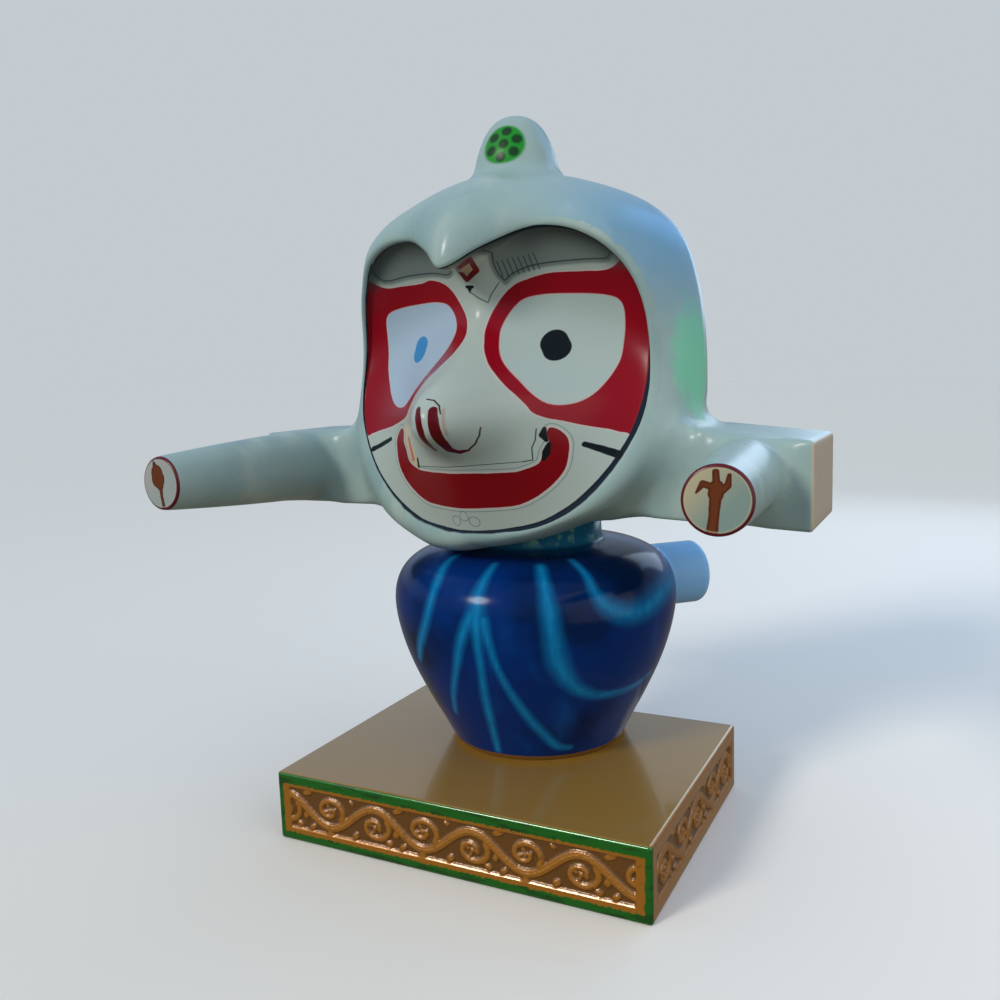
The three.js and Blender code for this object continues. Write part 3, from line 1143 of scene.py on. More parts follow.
    def brows(self, paint: Paint, view: Socket, rim: Socket) -> None:
        """Draws the brow panels in a grey darkened as painted shade, the painted shadow of the hood above them, their
        hatching, the open diamond between them and the small triangle.
        """
        for name in ("brow_left", "brow_right"):
            distance = paint.read(name)
            # The panels are painted shapes; their dark grey also stands in for painted shade under the hood
            paint.fill(distance, "74817D", soft=3)
            paint.trace(distance, 2.0, "3E4A4C", offset=-6)
        level = paint.node("SeparateXYZ", view, out=1)
        # Painted shadow of the hood over the brows, inside the rim, darkest next to the rim and fading downwards
        under = paint.node("Math", paint.share(rim, -48, -6), paint.share(level, 930, 955), operation="MULTIPLY")
        under = paint.node("Math", under, paint.share(rim, 1, -1), operation="MULTIPLY")
        paint.cover(paint.node("Math", under, 0.8, operation="MULTIPLY"), "38403E")
        hatch = [((x, 931 + x / 6, 0.9), (x - 3, 953 + x / 6, 0.8)) for x in range(46, 106, 8)]
        paint.fill(paint.brush(view, *hatch), "3C4547", soft=0.9)
        # The diamond lies over the corner of the hood's wall and the face, so it's drawn as seen from the left
        slant = paint.view_of((7, -126, 948), (0.875, 0.482, -0.039), (0.085, -0.074, 0.994))
        paint.fill(paint.brush(slant, ((-3, 2, 8), (3, 1, 8))), "A88F70")
        diamond = ((-15, 2, 3), (5, 16, 4), (15, 0, 4.8), (0, -15, 3.6), (-15, 2, 3))
        paint.fill(paint.brush(slant, diamond), "6E0A16", wobble=0.4)
        paint.fill(paint.brush(slant, ((0, -26, 2.4), (9, -26, 2.4)), ((4.5, -28, 4), (5, -35, 0.8))), self.black)
        zigzag = ((5, -34, 0.9), (20, -44, 0.9), (34, -50, 0.9), (39, -37, 0.9), (51, -19, 0.9))
        paint.fill(paint.brush(slant, zigzag), "46524F", soft=0.9)

    def eyes(self, paint: Paint, view: Socket) -> None:
        """Paints the red bands, the whites and the pupils, with painted sky reflections that tint the right eye's white
        and make its pupil blue.
        """
        band, white = paint.read("red_band"), paint.read("eye_white")
        paint.fill(band, self.red, wobble=0.9)
        paint.trace(band, 1.8, self.cream, offset=0.8, strength=0.7)
        paint.fill(white, self.eye, wobble=0.6)
        # Painted sky reflection: the right eye's white is tinted blue
        right_side = paint.share(paint.node("SeparateXYZ", view), -10, -40)
        paint.cover(paint.node("Math", paint.share(white, 0.5, -0.5), right_side, operation="MULTIPLY"), self.sky_reflection_eye)
        paint.trace(white, 1.8, self.cream, offset=0.2, strength=0.6)
        left, right = self.pupils
        paint.fill(paint.brush(view, left), self.black)
        # The right pupil is painted blue as a painted reflection of the sky
        paint.fill(paint.brush(view, right), self.blue, wobble=0.3)

    def nose(self, paint: Paint, view: Socket) -> None:
        """Draws the nostrils' red strokes and the thin loops round them."""
        strokes = (
            ((-10, 737, 5.5), (-7, 722, 6.5), (-5, 706, 6.5), (-4, 690, 5.5), (-3, 676, 3)),
            ((14, 736, 6), (16, 722, 7), (17, 707, 7), (18, 689, 7), (18, 677, 6), (26, 671, 3), (38, 673, 1.5)),
        )
        paint.fill(paint.brush(view, *strokes), self.thin_red, wobble=0.5)
        loops = (
            ((-1, 753, 0.9), (11, 751, 0.9), (20, 743, 0.9), (24, 731, 0.9)),
            ((38, 673, 1.0), (50, 683, 0.9), (58, 696, 0.8), (61, 708, 0.7)),
        )
        paint.fill(paint.brush(view, *loops), "3A1416", soft=0.5)
        paint.fill(paint.brush(view, ((26, 737, 1.8), (29, 700, 1.8))), "A8968E", soft=1.5)

    def lips(self, paint: Paint, view: Socket) -> None:
        """Paints the mouth with the black curls at its corners and the thin lines round it."""
        mouth = paint.read("mouth")
        paint.fill(mouth, self.mouth_red, wobble=0.7)
        paint.trace(mouth, 1.8, self.cream, offset=1.0, strength=0.8)
        paint.trace(mouth, 1.3, "39464A", offset=5.5, strength=0.55)
        curls = (((128, 700, 3), (126, 690, 5.5), (130, 682, 3)), ((133, 676, 3), (129, 663, 5.5), (125, 653, 3)))
        paint.fill(paint.brush(view, *curls), self.black, wobble=0.6)
        thin = (
            ((118, 700, 0.9), (116, 683, 0.9), (111, 671, 0.9), (111, 652, 0.9), (97, 650, 0.9)),
            ((96, 650, 0.6), (40, 648, 0.6), (-94, 641, 0.6)),
        )
        paint.fill(paint.brush(view, *thin), "39464A", soft=0.5)
        band = paint.brush(view, ((-116, 700, 9), (-112, 680, 12), (-105, 660, 12), (-96, 645, 7)))
        paint.fill(band, "C9B795", soft=1.5)
        paint.fill(paint.brush(view, ((-112, 686, 3.5), (-104, 652, 4.5))), "B4706A", soft=2.5)
        paint.fill(paint.brush(view, ((-89, 653, 3), (-90, 641, 3.5))), "1E3326")
        petals = (((-22, 553, 8), (-21, 554, 8)), ((-4, 562, 8), (-4, 565, 6)), ((13, 553, 8), (12, 554, 8)))
        for petal in petals:
            paint.trace(paint.brush(view, petal), 1.0, "4A5A5E", strength=0.85)

    def edge(self, paint: Paint, view: Socket, rim: Socket) -> Socket:
        """Paints the dark line on the rim, which is left out under the right arch, and the bars at its sides.

        Args:
            paint: the face's paint.
            view: its front view.
            rim: the distance outside the rim.

        Returns:
            How much duller the line is than the face.
        """
        across, level = (paint.node("SeparateXYZ", view, out=n) for n in (0, 1))
        width = paint.node("Math", paint.share(across, 0, 120), 2.4, 2.6, operation="MULTIPLY_ADD")
        width = paint.node("Math", paint.share(across, -120, -220), -0.9, width, operation="MULTIPLY_ADD")
        width = paint.node("Math", paint.share(across, 150, 235), 0.6, width, operation="MULTIPLY_ADD")
        middle = paint.node("Math", paint.share(across, 150, 235), -3.4, 1.0, operation="MULTIPLY_ADD")
        away = paint.node("Math", rim, middle, operation="SUBTRACT")
        away = paint.node("Math", away, operation="ABSOLUTE")
        away = paint.node("Math", away, width, operation="SUBTRACT")
        arch = paint.node("Math", paint.share(across, -32, -42), paint.share(level, 940, 955), operation="MULTIPLY")
        arch = paint.node("Math", arch, paint.share(across, -208, -196), operation="MULTIPLY")
        away = paint.node("Math", arch, 20, away, operation="MULTIPLY_ADD")
        paint.fill(away, self.navy, wobble=0.5)
        bars = ((180, 673, 4.4), (228, 656, 6.5)), ((-180, 681, 3.6), (-233, 661, 4.4))
        paint.fill(paint.brush(view, *bars), self.black, wobble=0.6)
        return paint.node("Math", paint.share(away, 3, 0), 0.5, operation="MULTIPLY")


@dataclass(frozen=True)
class HandPaint:
    """A hand's flat end: an emblem in brown on a pale disc with a maroon ring, brushed by hand in enamel."""

    name: str
    emblem: tuple
    reach: float = 44
    ring: str = "5A0A18"
    field_: str = "7D938B"
    # Cream serves the painted highlight on the disc's upper side and the thin line inside the ring
    cream: str = "B2A98A"
    brown: str = "66300F"
    shade: str = "4A1D0C"

    def material(self, ground: PaleEnamel, middle: Vector, inward: Vector) -> bpy.types.Material:
        """Paints the hand's end, with a painted highlight on the disc's upper side.

        Args:
            ground: the enamel of the arm.
            middle: the middle of the flat end in millimetres.
            inward: the direction of the arm from there.

        Returns:
            The finished material.
        """
        paint = ground.start(self.name)
        right = (Vector((1, 0, 0)) - inward * inward.x).normalized()
        view = paint.view_of(middle, right, right.cross(inward))
        disc = paint.brush(view, ((-0.5, 0, self.reach), (0.5, 0, self.reach)))
        paint.fill(disc, self.field_)
        rise = paint.node("SeparateXYZ", view, out=1)
        upper = paint.node("Math", rise, paint.node("SeparateXYZ", view), operation="SUBTRACT")
        # Painted highlight: the disc's upper side is lightened to cream
        disc_highlight = paint.node("Math", paint.share(upper, -30, 60), paint.share(disc, 0, -1), operation="MULTIPLY")
        paint.cover(disc_highlight, self.cream)
        figure = paint.brush(view, *self.emblem)
        paint.fill(figure, self.brown, wobble=0.8)
        paint.trace(figure, 2.4, self.shade, offset=-1.4, strength=0.75)
        paint.trace(disc, 5.5, self.ring, offset=-1.6)
        paint.trace(disc, 1.6, self.cream, offset=-5.6, strength=0.6)
        return paint.finish(ground.gloss)


@dataclass(frozen=True)
class KnobPaint:
    """The crown's flower: seven dark green dots on a bright green disc, in enamel over the pale coat."""

    middle: tuple = (8, 14, 1166)
    azimuth: float = 12
    lean: float = 22
    ring: float = 23.5
    dot: float = 9
    disc: float = 36

    def material(self, ground: PaleEnamel) -> bpy.types.Material:
        """Paints the knob.

        Args:
            ground: the enamel of the crown.

        Returns:
            The finished material.
        """
        paint = ground.start("crown_flower_enamel")
        turn, lean = math.radians(self.azimuth), math.radians(self.lean)
        right = (math.cos(turn), math.sin(turn), 0)
        up = (-math.sin(turn) * math.sin(lean), math.cos(turn) * math.sin(lean), math.cos(lean))
        view = paint.view_of(self.middle, right, up)
        front = paint.node("SeparateXYZ", paint.place, out="Y")
        front = paint.share(front, 60 * MM, 50 * MM)
        disc = paint.brush(view, ((-0.5, 0, self.disc), (0.5, 0, self.disc)))
        field_ = paint.node("Math", paint.share(disc, 3, -4), front, operation="MULTIPLY")
        paint.cover(field_, "158A1E")
        angles = [math.radians(80 - 60 * k) for k in range(6)]
        dots = [(0, 0)] + [(self.ring * math.cos(a), self.ring * math.sin(a)) for a in angles]
        spots = paint.brush(view, *(((x - 0.3, z, self.dot), (x + 0.3, z, self.dot)) for x, z in dots))
        paint.cover(paint.node("Math", paint.share(spots, 2.2, -3), front, operation="MULTIPLY"), "083A0A")
        return paint.finish(ground.gloss)


# ---------------------------------------------------------------------------------------------------------
# The body
# ---------------------------------------------------------------------------------------------------------


@dataclass(frozen=True)
class BodyPaint:
    """The body's deep blue enamel with brushed pale stripes, blended wet at their edges, and a gold foot.

    Each stripe is a line of azimuth in degrees from the front towards the figure's left, height and width in
    millimetres. They are painted on the front and again on the back.
    """

    navy: str = "022A6A"
    deep: str = "01183A"
    bright: str = "084C94"
    stripe: str = "07699F"
    stripe_core: str = "128ABF"
    neck: str = "1C6A8C"
    gold: str = "7A5320"
    stub: str = "8CC4F4"
    stripes: tuple = (
        ((-25, 477, 14), (-19, 454, 19), (-18, 420, 18), (-21, 376, 18), (-28, 330, 16), (-33, 298, 10)),
        ((5, 473, 12), (4, 454, 16), (3, 433, 21), (3, 403, 28), (3, 385, 24)),
        ((1, 402, 18), (-4, 357, 16), (-9, 300, 13), (-16, 245, 11), (-21, 204, 9)),
        ((3, 395, 18), (3, 352, 14), (3, 307, 12), (2, 258, 14), (1, 205, 14), (-1, 138, 12)),
        ((6, 395, 16), (8, 345, 12), (11, 296, 12), (16, 248, 14), (23, 201, 16), (34, 154, 14), (43, 145, 10)),
        ((28, 471, 16), (29, 441, 21), (30, 404, 26), (31, 363, 28), (33, 323, 30), (38, 284, 24), (45, 261, 19),
         (55, 249, 15), (71, 247, 13), (86, 258, 11)),
        ((45, 475, 12), (47, 457, 14), (48, 432, 18), (52, 409, 28), (61, 391, 31), (72, 394, 35), (84, 410, 38),
         (95, 417, 38)),
    )
    gloss: Gloss = Gloss(roughness=0.16, ior=1.22, ripple=0.15, ripple_size=60, patchy=0.05)

    def mark(self, mesh: bpy.types.Mesh, profile: np.ndarray, axis_y: float) -> None:
        """Stores how far each vertex is from the stripes, as a share of their half width.

        Args:
            mesh: the body's skin.
            profile: its radius and height pairs.
            axis_y: where its axis stands.
        """
        places = places_of(mesh)
        nearest = np.full(len(places), 9.0)
        heights, radii = profile[1:-1, 1], profile[1:-1, 0]
        for turn in (0, 180):
            for stripe in self.stripes:
                line = spline(stripe, 5, closed=False)
                azimuth, radius = np.radians(line[:, 0] + turn), np.interp(line[:, 1], heights, radii)
                path = np.stack([radius * np.sin(azimuth), axis_y - radius * np.cos(azimuth), line[:, 1]], 1)
                for start, end, wide in zip(path, path[1:], line[:, 2]):
                    along = end - start
                    share = np.clip((places - start) @ along / (along @ along), 0, 1)
                    away = np.linalg.norm(places - start - share[:, None] * along, axis=1)
                    nearest = np.minimum(nearest, away / (wide / 2))
        store(mesh, "stripe", nearest)

    def material(self) -> bpy.types.Material:
        """Paints the body, neck and stubs."""
        paint = Paint("deep_blue_gloss_enamel", self.navy)
        paint.cover(paint.share(paint.spots(170, 3), 0.42, 0.68), self.deep)
        height = paint.node("SeparateXYZ", paint.place, out="Z")
        paint.cover(paint.share(paint.spots(140, 3, (1, 1, 0.5)), 0.5, 0.75), self.bright)
        stripe = paint.node("Math", paint.wander, 0.5, paint.read("stripe"), operation="MULTIPLY_ADD")
        soft = paint.share(stripe, 2.2, 0.6)
        paint.cover(paint.node("Math", soft, 0.75, operation="MULTIPLY"), self.stripe)
        grain = paint.spots(9, 2, (1, 1, 0.12))
        core = paint.node("Math", paint.share(stripe, 1.1, 0.2), grain, operation="MULTIPLY")
        paint.cover(core, self.stripe_core)
        paint.cover(paint.share(height, 0.478, 0.492), self.neck)
        rough = paint.node("Math", paint.share(paint.spots(26, 4), 0.5, 0.62), paint.share(height, 0.484, 0.5), operation="MULTIPLY")
        paint.cover(rough, "6FA79A")
        behind = paint.share(paint.node("SeparateXYZ", paint.place, out="Y"), 0.16, 0.17)
        for side in Side:
            end_on = paint.view_of((0, 104, 390), (0.7071, -0.7071 * side.value, 0), (0, 0, 1))
            stub = paint.brush(end_on, ((-0.5, 0, 61), (0.5, 0, 61)))
            paint.cover(paint.node("Math", paint.share(stub, 5, 2), behind, operation="MULTIPLY"), self.stub)
        foot = paint.node("Math", paint.wander, 0.004, height, operation="MULTIPLY_ADD")
        paint.cover(paint.share(foot, 0.1335, 0.1305), self.gold)
        paint.cover(paint.share(height, 0.1232, 0.1222), "B08A4E")
        return paint.finish(self.gloss)


@dataclass
class Body:
    """The pot-shaped body with its neck and the two stubs behind the shoulders."""

    profile: tuple = (
        (0, 120.3), (153.5, 120.3), (156.5, 122), (160, 126), (178, 162), (206, 215), (233, 275), (251, 333),
        (258, 385), (251, 424), (231, 452), (200, 470), (160, 480), (132, 485), (125.5, 492), (124, 530),
        (0, 530),
    )
    axis_y: float = 104
    stub_radius: float = 60
    stub_reach: float = 338.5
    stub_height: float = 390
    stub_azimuth: float = 45
    stub_round: float = 14
    fillet: float = 9
    sides: int = 300

    def curve(self) -> np.ndarray:
        """Gives the profile as a smooth curve between its flat ends."""
        smooth = spline(self.profile[3:-2], 7, closed=False)
        return np.vstack([self.profile[:3], smooth, self.profile[-2:]])

    def stub(self, side: Side) -> bpy.types.Object:
        """Builds a rounded stub that stands out from the back of the body.

        Args:
            side: which of the two.

        Returns:
            The closed stub.
        """
        rounded = self.stub_radius - self.stub_round
        turns = np.radians(np.linspace(0, 90, 7))
        bend = np.stack(
            [rounded + self.stub_round * np.cos(turns), self.stub_reach - self.stub_round * (1 - np.sin(turns))], 1
        )
        wall = [(self.stub_radius, along) for along in np.linspace(100, self.stub_reach - self.stub_round - 4, 44)]
        profile = np.vstack([[(0, 100)], wall, bend, [(rounded * 0.6, self.stub_reach + 1.2)], [(0, self.stub_reach + 2)]])
        stub = turned_piece("stub", profile, 84)
        azimuth = math.radians(self.stub_azimuth)
        aim = Vector((side.value * math.sin(azimuth), math.cos(azimuth), 0))
        turn = Vector((0, 0, 1)).rotation_difference(aim).to_matrix().to_4x4()
        stub.data.transform(Matrix.Translation(Vector((0, self.axis_y, self.stub_height)) * MM) @ turn)
        return stub

    def build(self) -> bpy.types.Object:
        """Builds the body as one skin and paints it.

        Returns:
            The piece.
        """
        body = turned_piece("body_and_neck", self.curve(), self.sides)
        body.data.transform(Matrix.Translation((0, self.axis_y * MM, 0)))
        stubs = [self.stub(side) for side in Side]
        body_tree, stub_trees = tree_of(body), [tree_of(stub) for stub in stubs]
        for stub, tree in zip(stubs, stub_trees):
            flare(body, tree, self.fillet)
            flare(stub, body_tree, self.fillet)
        merge_solids(body, stubs)
        body.data.shade_smooth()
        paint = BodyPaint()
        paint.mark(body.data, self.curve(), self.axis_y)
        body.data.materials.clear()
        body.data.materials.append(paint.material())
        return body


# ---------------------------------------------------------------------------------------------------------
# The plinth
# ---------------------------------------------------------------------------------------------------------


@dataclass(frozen=True)
class ScrollRun:
    """The scroll on one side: where its first bend is, whether that is a crest, and how many bends it has."""

    first: float
    turn: int
    bends: int


@dataclass(frozen=True)
class GoldPaint:
    """Gold-bronze enamel over the cast plinth, glossy on top, with a darker colour in the relief's hollows.

    The front's edge bands are brushed green, with ragged ends where the brush met the relief.
    """

    gold: str = "A2660F"
    dark: str = "6A420C"
    light: str = "C9974A"
    top: str = "A07A34"
    green: str = "0B6210"
    green_dark: str = "0A480C"
    gloss: Gloss = Gloss(roughness=0.24, metallic=0.2, coat=0.7, coat_roughness=0.06, ripple=0.2, ripple_size=70, patchy=0.07)

    def material(self) -> bpy.types.Material:
        """Paints the plinth."""
        paint = Paint("gold_bronze_enamel", self.gold)
        height = paint.read("relief")
        # The sunk floor between the relief is darkened, with a noisy edge
        hollow_darkening = paint.node("Math", paint.spots(10, 4), 3.0, height, operation="MULTIPLY_ADD")
        paint.cover(paint.share(hollow_darkening, 4.6, 1.6), self.dark)
        paint.cover(paint.share(paint.spots(14, 3), 0.6, 0.75), "7A4A10")
        ridge = paint.node("Math", paint.share(height, 3.4, 4.9), paint.read("carved"), operation="MULTIPLY")
        paint.cover(paint.node("Math", ridge, 0.75, operation="MULTIPLY"), self.light)
        level = paint.node("SeparateXYZ", paint.place, out="Z")
        paint.cover(paint.share(level, 0.1185, 0.1198), self.top)
        ragged = paint.node("Math", paint.spots(7, 3, (1, 1, 0.35)), 9.0, paint.read("trim"), operation="MULTIPLY_ADD")
        ragged = paint.node("Math", ragged, 4.5, operation="SUBTRACT")
        paint.fill(ragged, self.green, soft=1.2)
        streak = paint.node("Math", paint.spots(12, 3, (0.2, 1, 1)), 0.5, operation="SUBTRACT")
        streak = paint.node("Math", paint.share(streak, 0.02, 0.14), paint.share(ragged, 0.5, -1), operation="MULTIPLY")
        paint.cover(streak, self.green_dark)
        carved = paint.node("Math", paint.spots(5, 3), paint.read("carved"), operation="MULTIPLY")
        return paint.finish(self.gloss, dull=paint.node("Math", paint.read("carved"), 0.14, operation="MULTIPLY"), relief=carved)


@dataclass
class Plinth:
    """The rectangular plinth, with a sunk panel on each side that carries a running scroll in relief."""

    width: float = 670
    depth: float = 502
    height: float = 120
    edge: float = 5
    border: float = 23
    recess: float = 5
    slope: float = 3
    grain: float = 1.72
    pitch: float = 91
    wave: float = 24
    stem: float = 7.5
    coil_radius: float = 23
    coil_stretch: float = 1.25
    coil_ridge: float = 5.6
    drop: float = 6
    long_run: ScrollRun = ScrollRun(-229, -1, 6)
    short_run: ScrollRun = ScrollRun(-182, 1, 5)

    def stations(self, length: float) -> np.ndarray:
        """Gives the columns' places along one side, close together on its panel.

        Args:
            length: the side's length.

        Returns:
            Places from one end to the other, measured from the middle.
        """
        half, panel = length / 2 - self.edge, length / 2 - self.border + 1.5
        inner = np.linspace(-panel, panel, int(2 * panel / self.grain))
        outer = np.linspace(panel, half, 9)[1:]
        return np.concatenate([-outer[::-1], inner, outer])

    def outline(self) -> tuple[np.ndarray, np.ndarray, np.ndarray]:
        """Walks round the plinth once.

        Returns:
            For each column its side from 0 at the front, its place along that side, and the share of the
            corner's turn that it has made.
        """
        side, along, turned = [], [], []
        for k in range(4):
            places = self.stations(self.depth if k % 2 else self.width)
            side += [k] * (len(places) + 3)
            along += [*places, *[places[-1]] * 3]
            turned += [0] * len(places) + [0.25, 0.5, 0.75]
        return np.array(side), np.array(along), np.array(turned)

    def levels(self) -> tuple[np.ndarray, np.ndarray]:
        """Gives the rows' heights, and how far each is pulled in at the rounded edges."""
        turn = np.linspace(0, math.pi / 2, 5)
        low = self.edge * (1 - np.sin(turn))
        pull = self.edge * (1 - np.cos(turn[::-1]))
        panel = self.height / 2 - self.border + 1.5
        inner = self.height / 2 + np.linspace(-panel, panel, int(2 * panel / self.grain))
        gap = np.linspace(self.edge, inner[0], 8)[1:-1]
        heights = np.concatenate([low[::-1], gap, inner, self.height - gap[::-1], self.height - low])
        pulls = np.concatenate([pull[::1], np.zeros(2 * len(gap) + len(inner)), pull[::-1]])
        return heights, pulls

    def strand(self, places: np.ndarray, path: np.ndarray, wide: np.ndarray, tall: float) -> np.ndarray:
        """Raises a fluted strand along a path.

        Args:
            places: places on the panel.
            path: the strand's middle line.
            wide: its half width at each point of the path.
            tall: its height.

        Returns:
            The height that it gives each place.
        """
        raised = np.zeros(len(places))
        for start, end, width in zip(path, path[1:], wide):
            along = end - start
            away = places - start
            share = np.clip(away @ along / (along @ along), 0, 1)
            across = np.linalg.norm(away - share[:, None] * along, axis=1) / width
            dome = np.sqrt(np.clip(1 - across**2, 0, 1))
            flute = 1 - 0.3 * (0.5 + 0.5 * np.cos(across * 2 * math.pi * 1.5 + math.pi))
            raised = np.maximum(raised, tall * dome * flute)
        return raised

    def bud(self, places: np.ndarray, middle: Point2, half: Point2, lean: float, tall: float) -> np.ndarray:
        """Raises a bud or leaf with a vein.

        Args:
            places: places on the panel.
            middle: where it is.
            half: its half length and half width.
            lean: its lean in degrees.
            tall: its height.

        Returns:
            The height that it gives each place.
        """
        turn = math.radians(lean)
        away = places - np.array(middle)
        along = (away @ np.array([math.cos(turn), math.sin(turn)])) / half[0]
        across = (away @ np.array([-math.sin(turn), math.cos(turn)])) / half[1]
        dome = np.sqrt(np.clip(1 - along**2 - across**2, 0, 1))
        return tall * dome * (1 - 0.28 * bell(across, 0.28))

    def relief(self, places: np.ndarray, run: ScrollRun, reach: float) -> np.ndarray:
        """Works out the scroll's height over a panel.

        Args:
            places: places on the panel, along and up from its middle.
            run: the scroll on this side.
            reach: half the panel's length.

        Returns:
            The height of each place.
        """
        raised = np.zeros(len(places))
        along = np.linspace(-reach, reach, int(reach / 3))
        stem = np.stack([along, run.turn * self.wave * np.cos(math.pi * (along - run.first) / self.pitch)], 1)
        raised = np.maximum(raised, self.strand(places, stem, np.full(len(stem), self.stem), 4.9))
        for bend in range(-1, run.bends + 1):
            middle = run.first + bend * self.pitch
            up = -run.turn if bend % 2 else run.turn
            near = np.abs(places[:, 0] - middle) < self.pitch
            if not near.any():
                continue
            local = places[near]
            heights = [raised[near]]
            turn = np.radians(-35 + 400 * np.linspace(0, 1, 34))
            radius = self.coil_radius * (1 - 0.72 * np.linspace(0, 1, 34))
            coil = np.stack([radius * np.cos(turn) * self.coil_stretch, radius * np.sin(turn)], 1)
            coil = coil * (1, -up) + (middle, -up * self.drop)
            heights.append(self.strand(local, coil, self.coil_ridge * np.linspace(1.05, 0.7, 34), 4.6))
            inner = np.radians(np.linspace(150, 330, 14))
            arc = np.stack([np.cos(inner) * 21, -up * (np.sin(inner) * -17)], 1) + (middle, -up * self.drop)
            heights.append(self.strand(local, arc, np.linspace(1.2, 2.6, 14), 3.2))
            heights.append(self.bud(local, (middle, -up * self.drop), (4.5, 4.5), 0, 4.9))
            for angle in (20, 110, 200):
                a = math.radians(angle)
                spot = (middle + 9 * math.cos(a), -up * (self.drop + 8 * math.sin(a)))
                heights.append(self.bud(local, spot, (5, 3), -up * angle, 4.2))
            if up > 0:
                buds = ((41, -10, 8, 6, 70), (27, -28, 8, 5, -25), (54, -29, 8, 5, 25), (-40, -28, 8, 6, 30))
            else:
                buds = ((-45, 31, 12, 5, 20), (46, 29, 7, 3.5, -40), (0, -33, 9, 2.6, 0))
            for across, rise, long, wide, lean in buds:
                heights.append(self.bud(local, (middle + across, rise), (long, wide), lean, 4.7))
            raised[near] = np.max(heights, axis=0)
        return raised

    def build(self) -> bpy.types.Object:
        """Builds the plinth and paints it.

        Returns:
            The piece.
        """
        side, along, turned = self.outline()
        heights, pulls = self.levels()
        columns, rows = len(side), len(heights)
        bm = bmesh.new()
        bmesh.ops.create_grid(bm, x_segments=columns, y_segments=rows - 1, size=1.0)
        flat = np.array([vert.co for vert in bm.verts])
        column = np.rint((flat[:, 0] + 1) / 2 * columns).astype(int) % columns
        row = np.rint((flat[:, 1] + 1) / 2 * (rows - 1)).astype(int)
        k, u, part, z, pull = side[column], along[column], turned[column], heights[row], pulls[row]
        half_long = np.where(k % 2, self.depth, self.width) / 2
        reach = np.where(k % 2, self.width, self.depth) / 2
        v = z - self.height / 2
        rise, carved, sunk = np.zeros(len(u)), np.zeros(len(u)), np.zeros(len(u))
        inside = np.minimum(half_long - self.border - np.abs(u), self.height / 2 - self.border - np.abs(v))
        on = (inside > 0) & (part == 0)
        for kind, run in enumerate((self.long_run, self.short_run)):
            pick = on & (k % 2 == kind)
            places = np.stack([u[pick], v[pick]], 1)
            panel = (self.depth if kind else self.width) / 2 - self.border
            rise[pick] = self.relief(places, run, panel)
            sunk[pick] = smoothstep(inside[pick], 0, self.slope)
            carved[pick] = sunk[pick]
        lift = np.minimum(rise * sunk, self.recess) - self.recess * sunk
        angle = part * math.pi / 2
        round_ = self.edge - pull
        local_x = u + np.where(part > 0, round_ * np.sin(angle), 0)
        local_y = -(reach - self.edge + np.where(part > 0, round_ * np.cos(angle), round_ + lift))
        turn = k * math.pi / 2
        x = local_x * np.cos(turn) - local_y * np.sin(turn)
        y = local_x * np.sin(turn) + local_y * np.cos(turn)
        for vert, place in zip(bm.verts, np.stack([x, y, z], 1) * MM):
            vert.co = place
        bmesh.ops.remove_doubles(bm, verts=[v for v, c in zip(bm.verts, flat) if abs(c[0]) > 0.9999], dist=1e-6)
        ends = [edge for edge in bm.edges if edge.is_boundary]
        bmesh.ops.holes_fill(bm, edges=ends, sides=0)
        for edge in ends:
            edge.smooth = False
        plinth = piece_from("plinth_block", bm)
        self.mark(plinth.data)
        plinth.data.materials.append(GoldPaint().material())
        return plinth

    def mark(self, mesh: bpy.types.Mesh) -> None:
        """Stores the relief's height, the carved area and the distance to the green bands' edge."""
        places = places_of(mesh)
        x, y, z = places.T
        long_in = np.minimum(self.width / 2 - self.border - np.abs(x), self.height / 2 - self.border - np.abs(z - 60))
        short_in = np.minimum(self.depth / 2 - self.border - np.abs(y), self.height / 2 - self.border - np.abs(z - 60))
        back_y = self.depth / 2 - np.abs(y)
        back_x = self.width / 2 - np.abs(x)
        on_long = (back_y < 5.6) & (long_in > 0)
        on_short = (back_x < 5.6) & (short_in > 0)
        height = np.full(len(places), self.recess)
        height[on_long] = self.recess - back_y[on_long]
        height[on_short] = self.recess - back_x[on_short]
        carved = np.where(on_long, smoothstep(long_in, 0, 3), 0) + np.where(on_short, smoothstep(short_in, 0, 3), 0)
        store(mesh, "relief", height)
        store(mesh, "carved", np.clip(carved, 0, 1))
        inner = np.maximum(np.abs(x) - (self.width / 2 - 11), np.maximum(z - 102, 15 - z))
        on_front = y + self.depth / 2 - 7.5
        store(mesh, "trim", np.maximum(-inner, np.where(z > 119.4, 9, on_front)))


# ---------------------------------------------------------------------------------------------------------
# The camera, floor and lights
# ---------------------------------------------------------------------------------------------------------


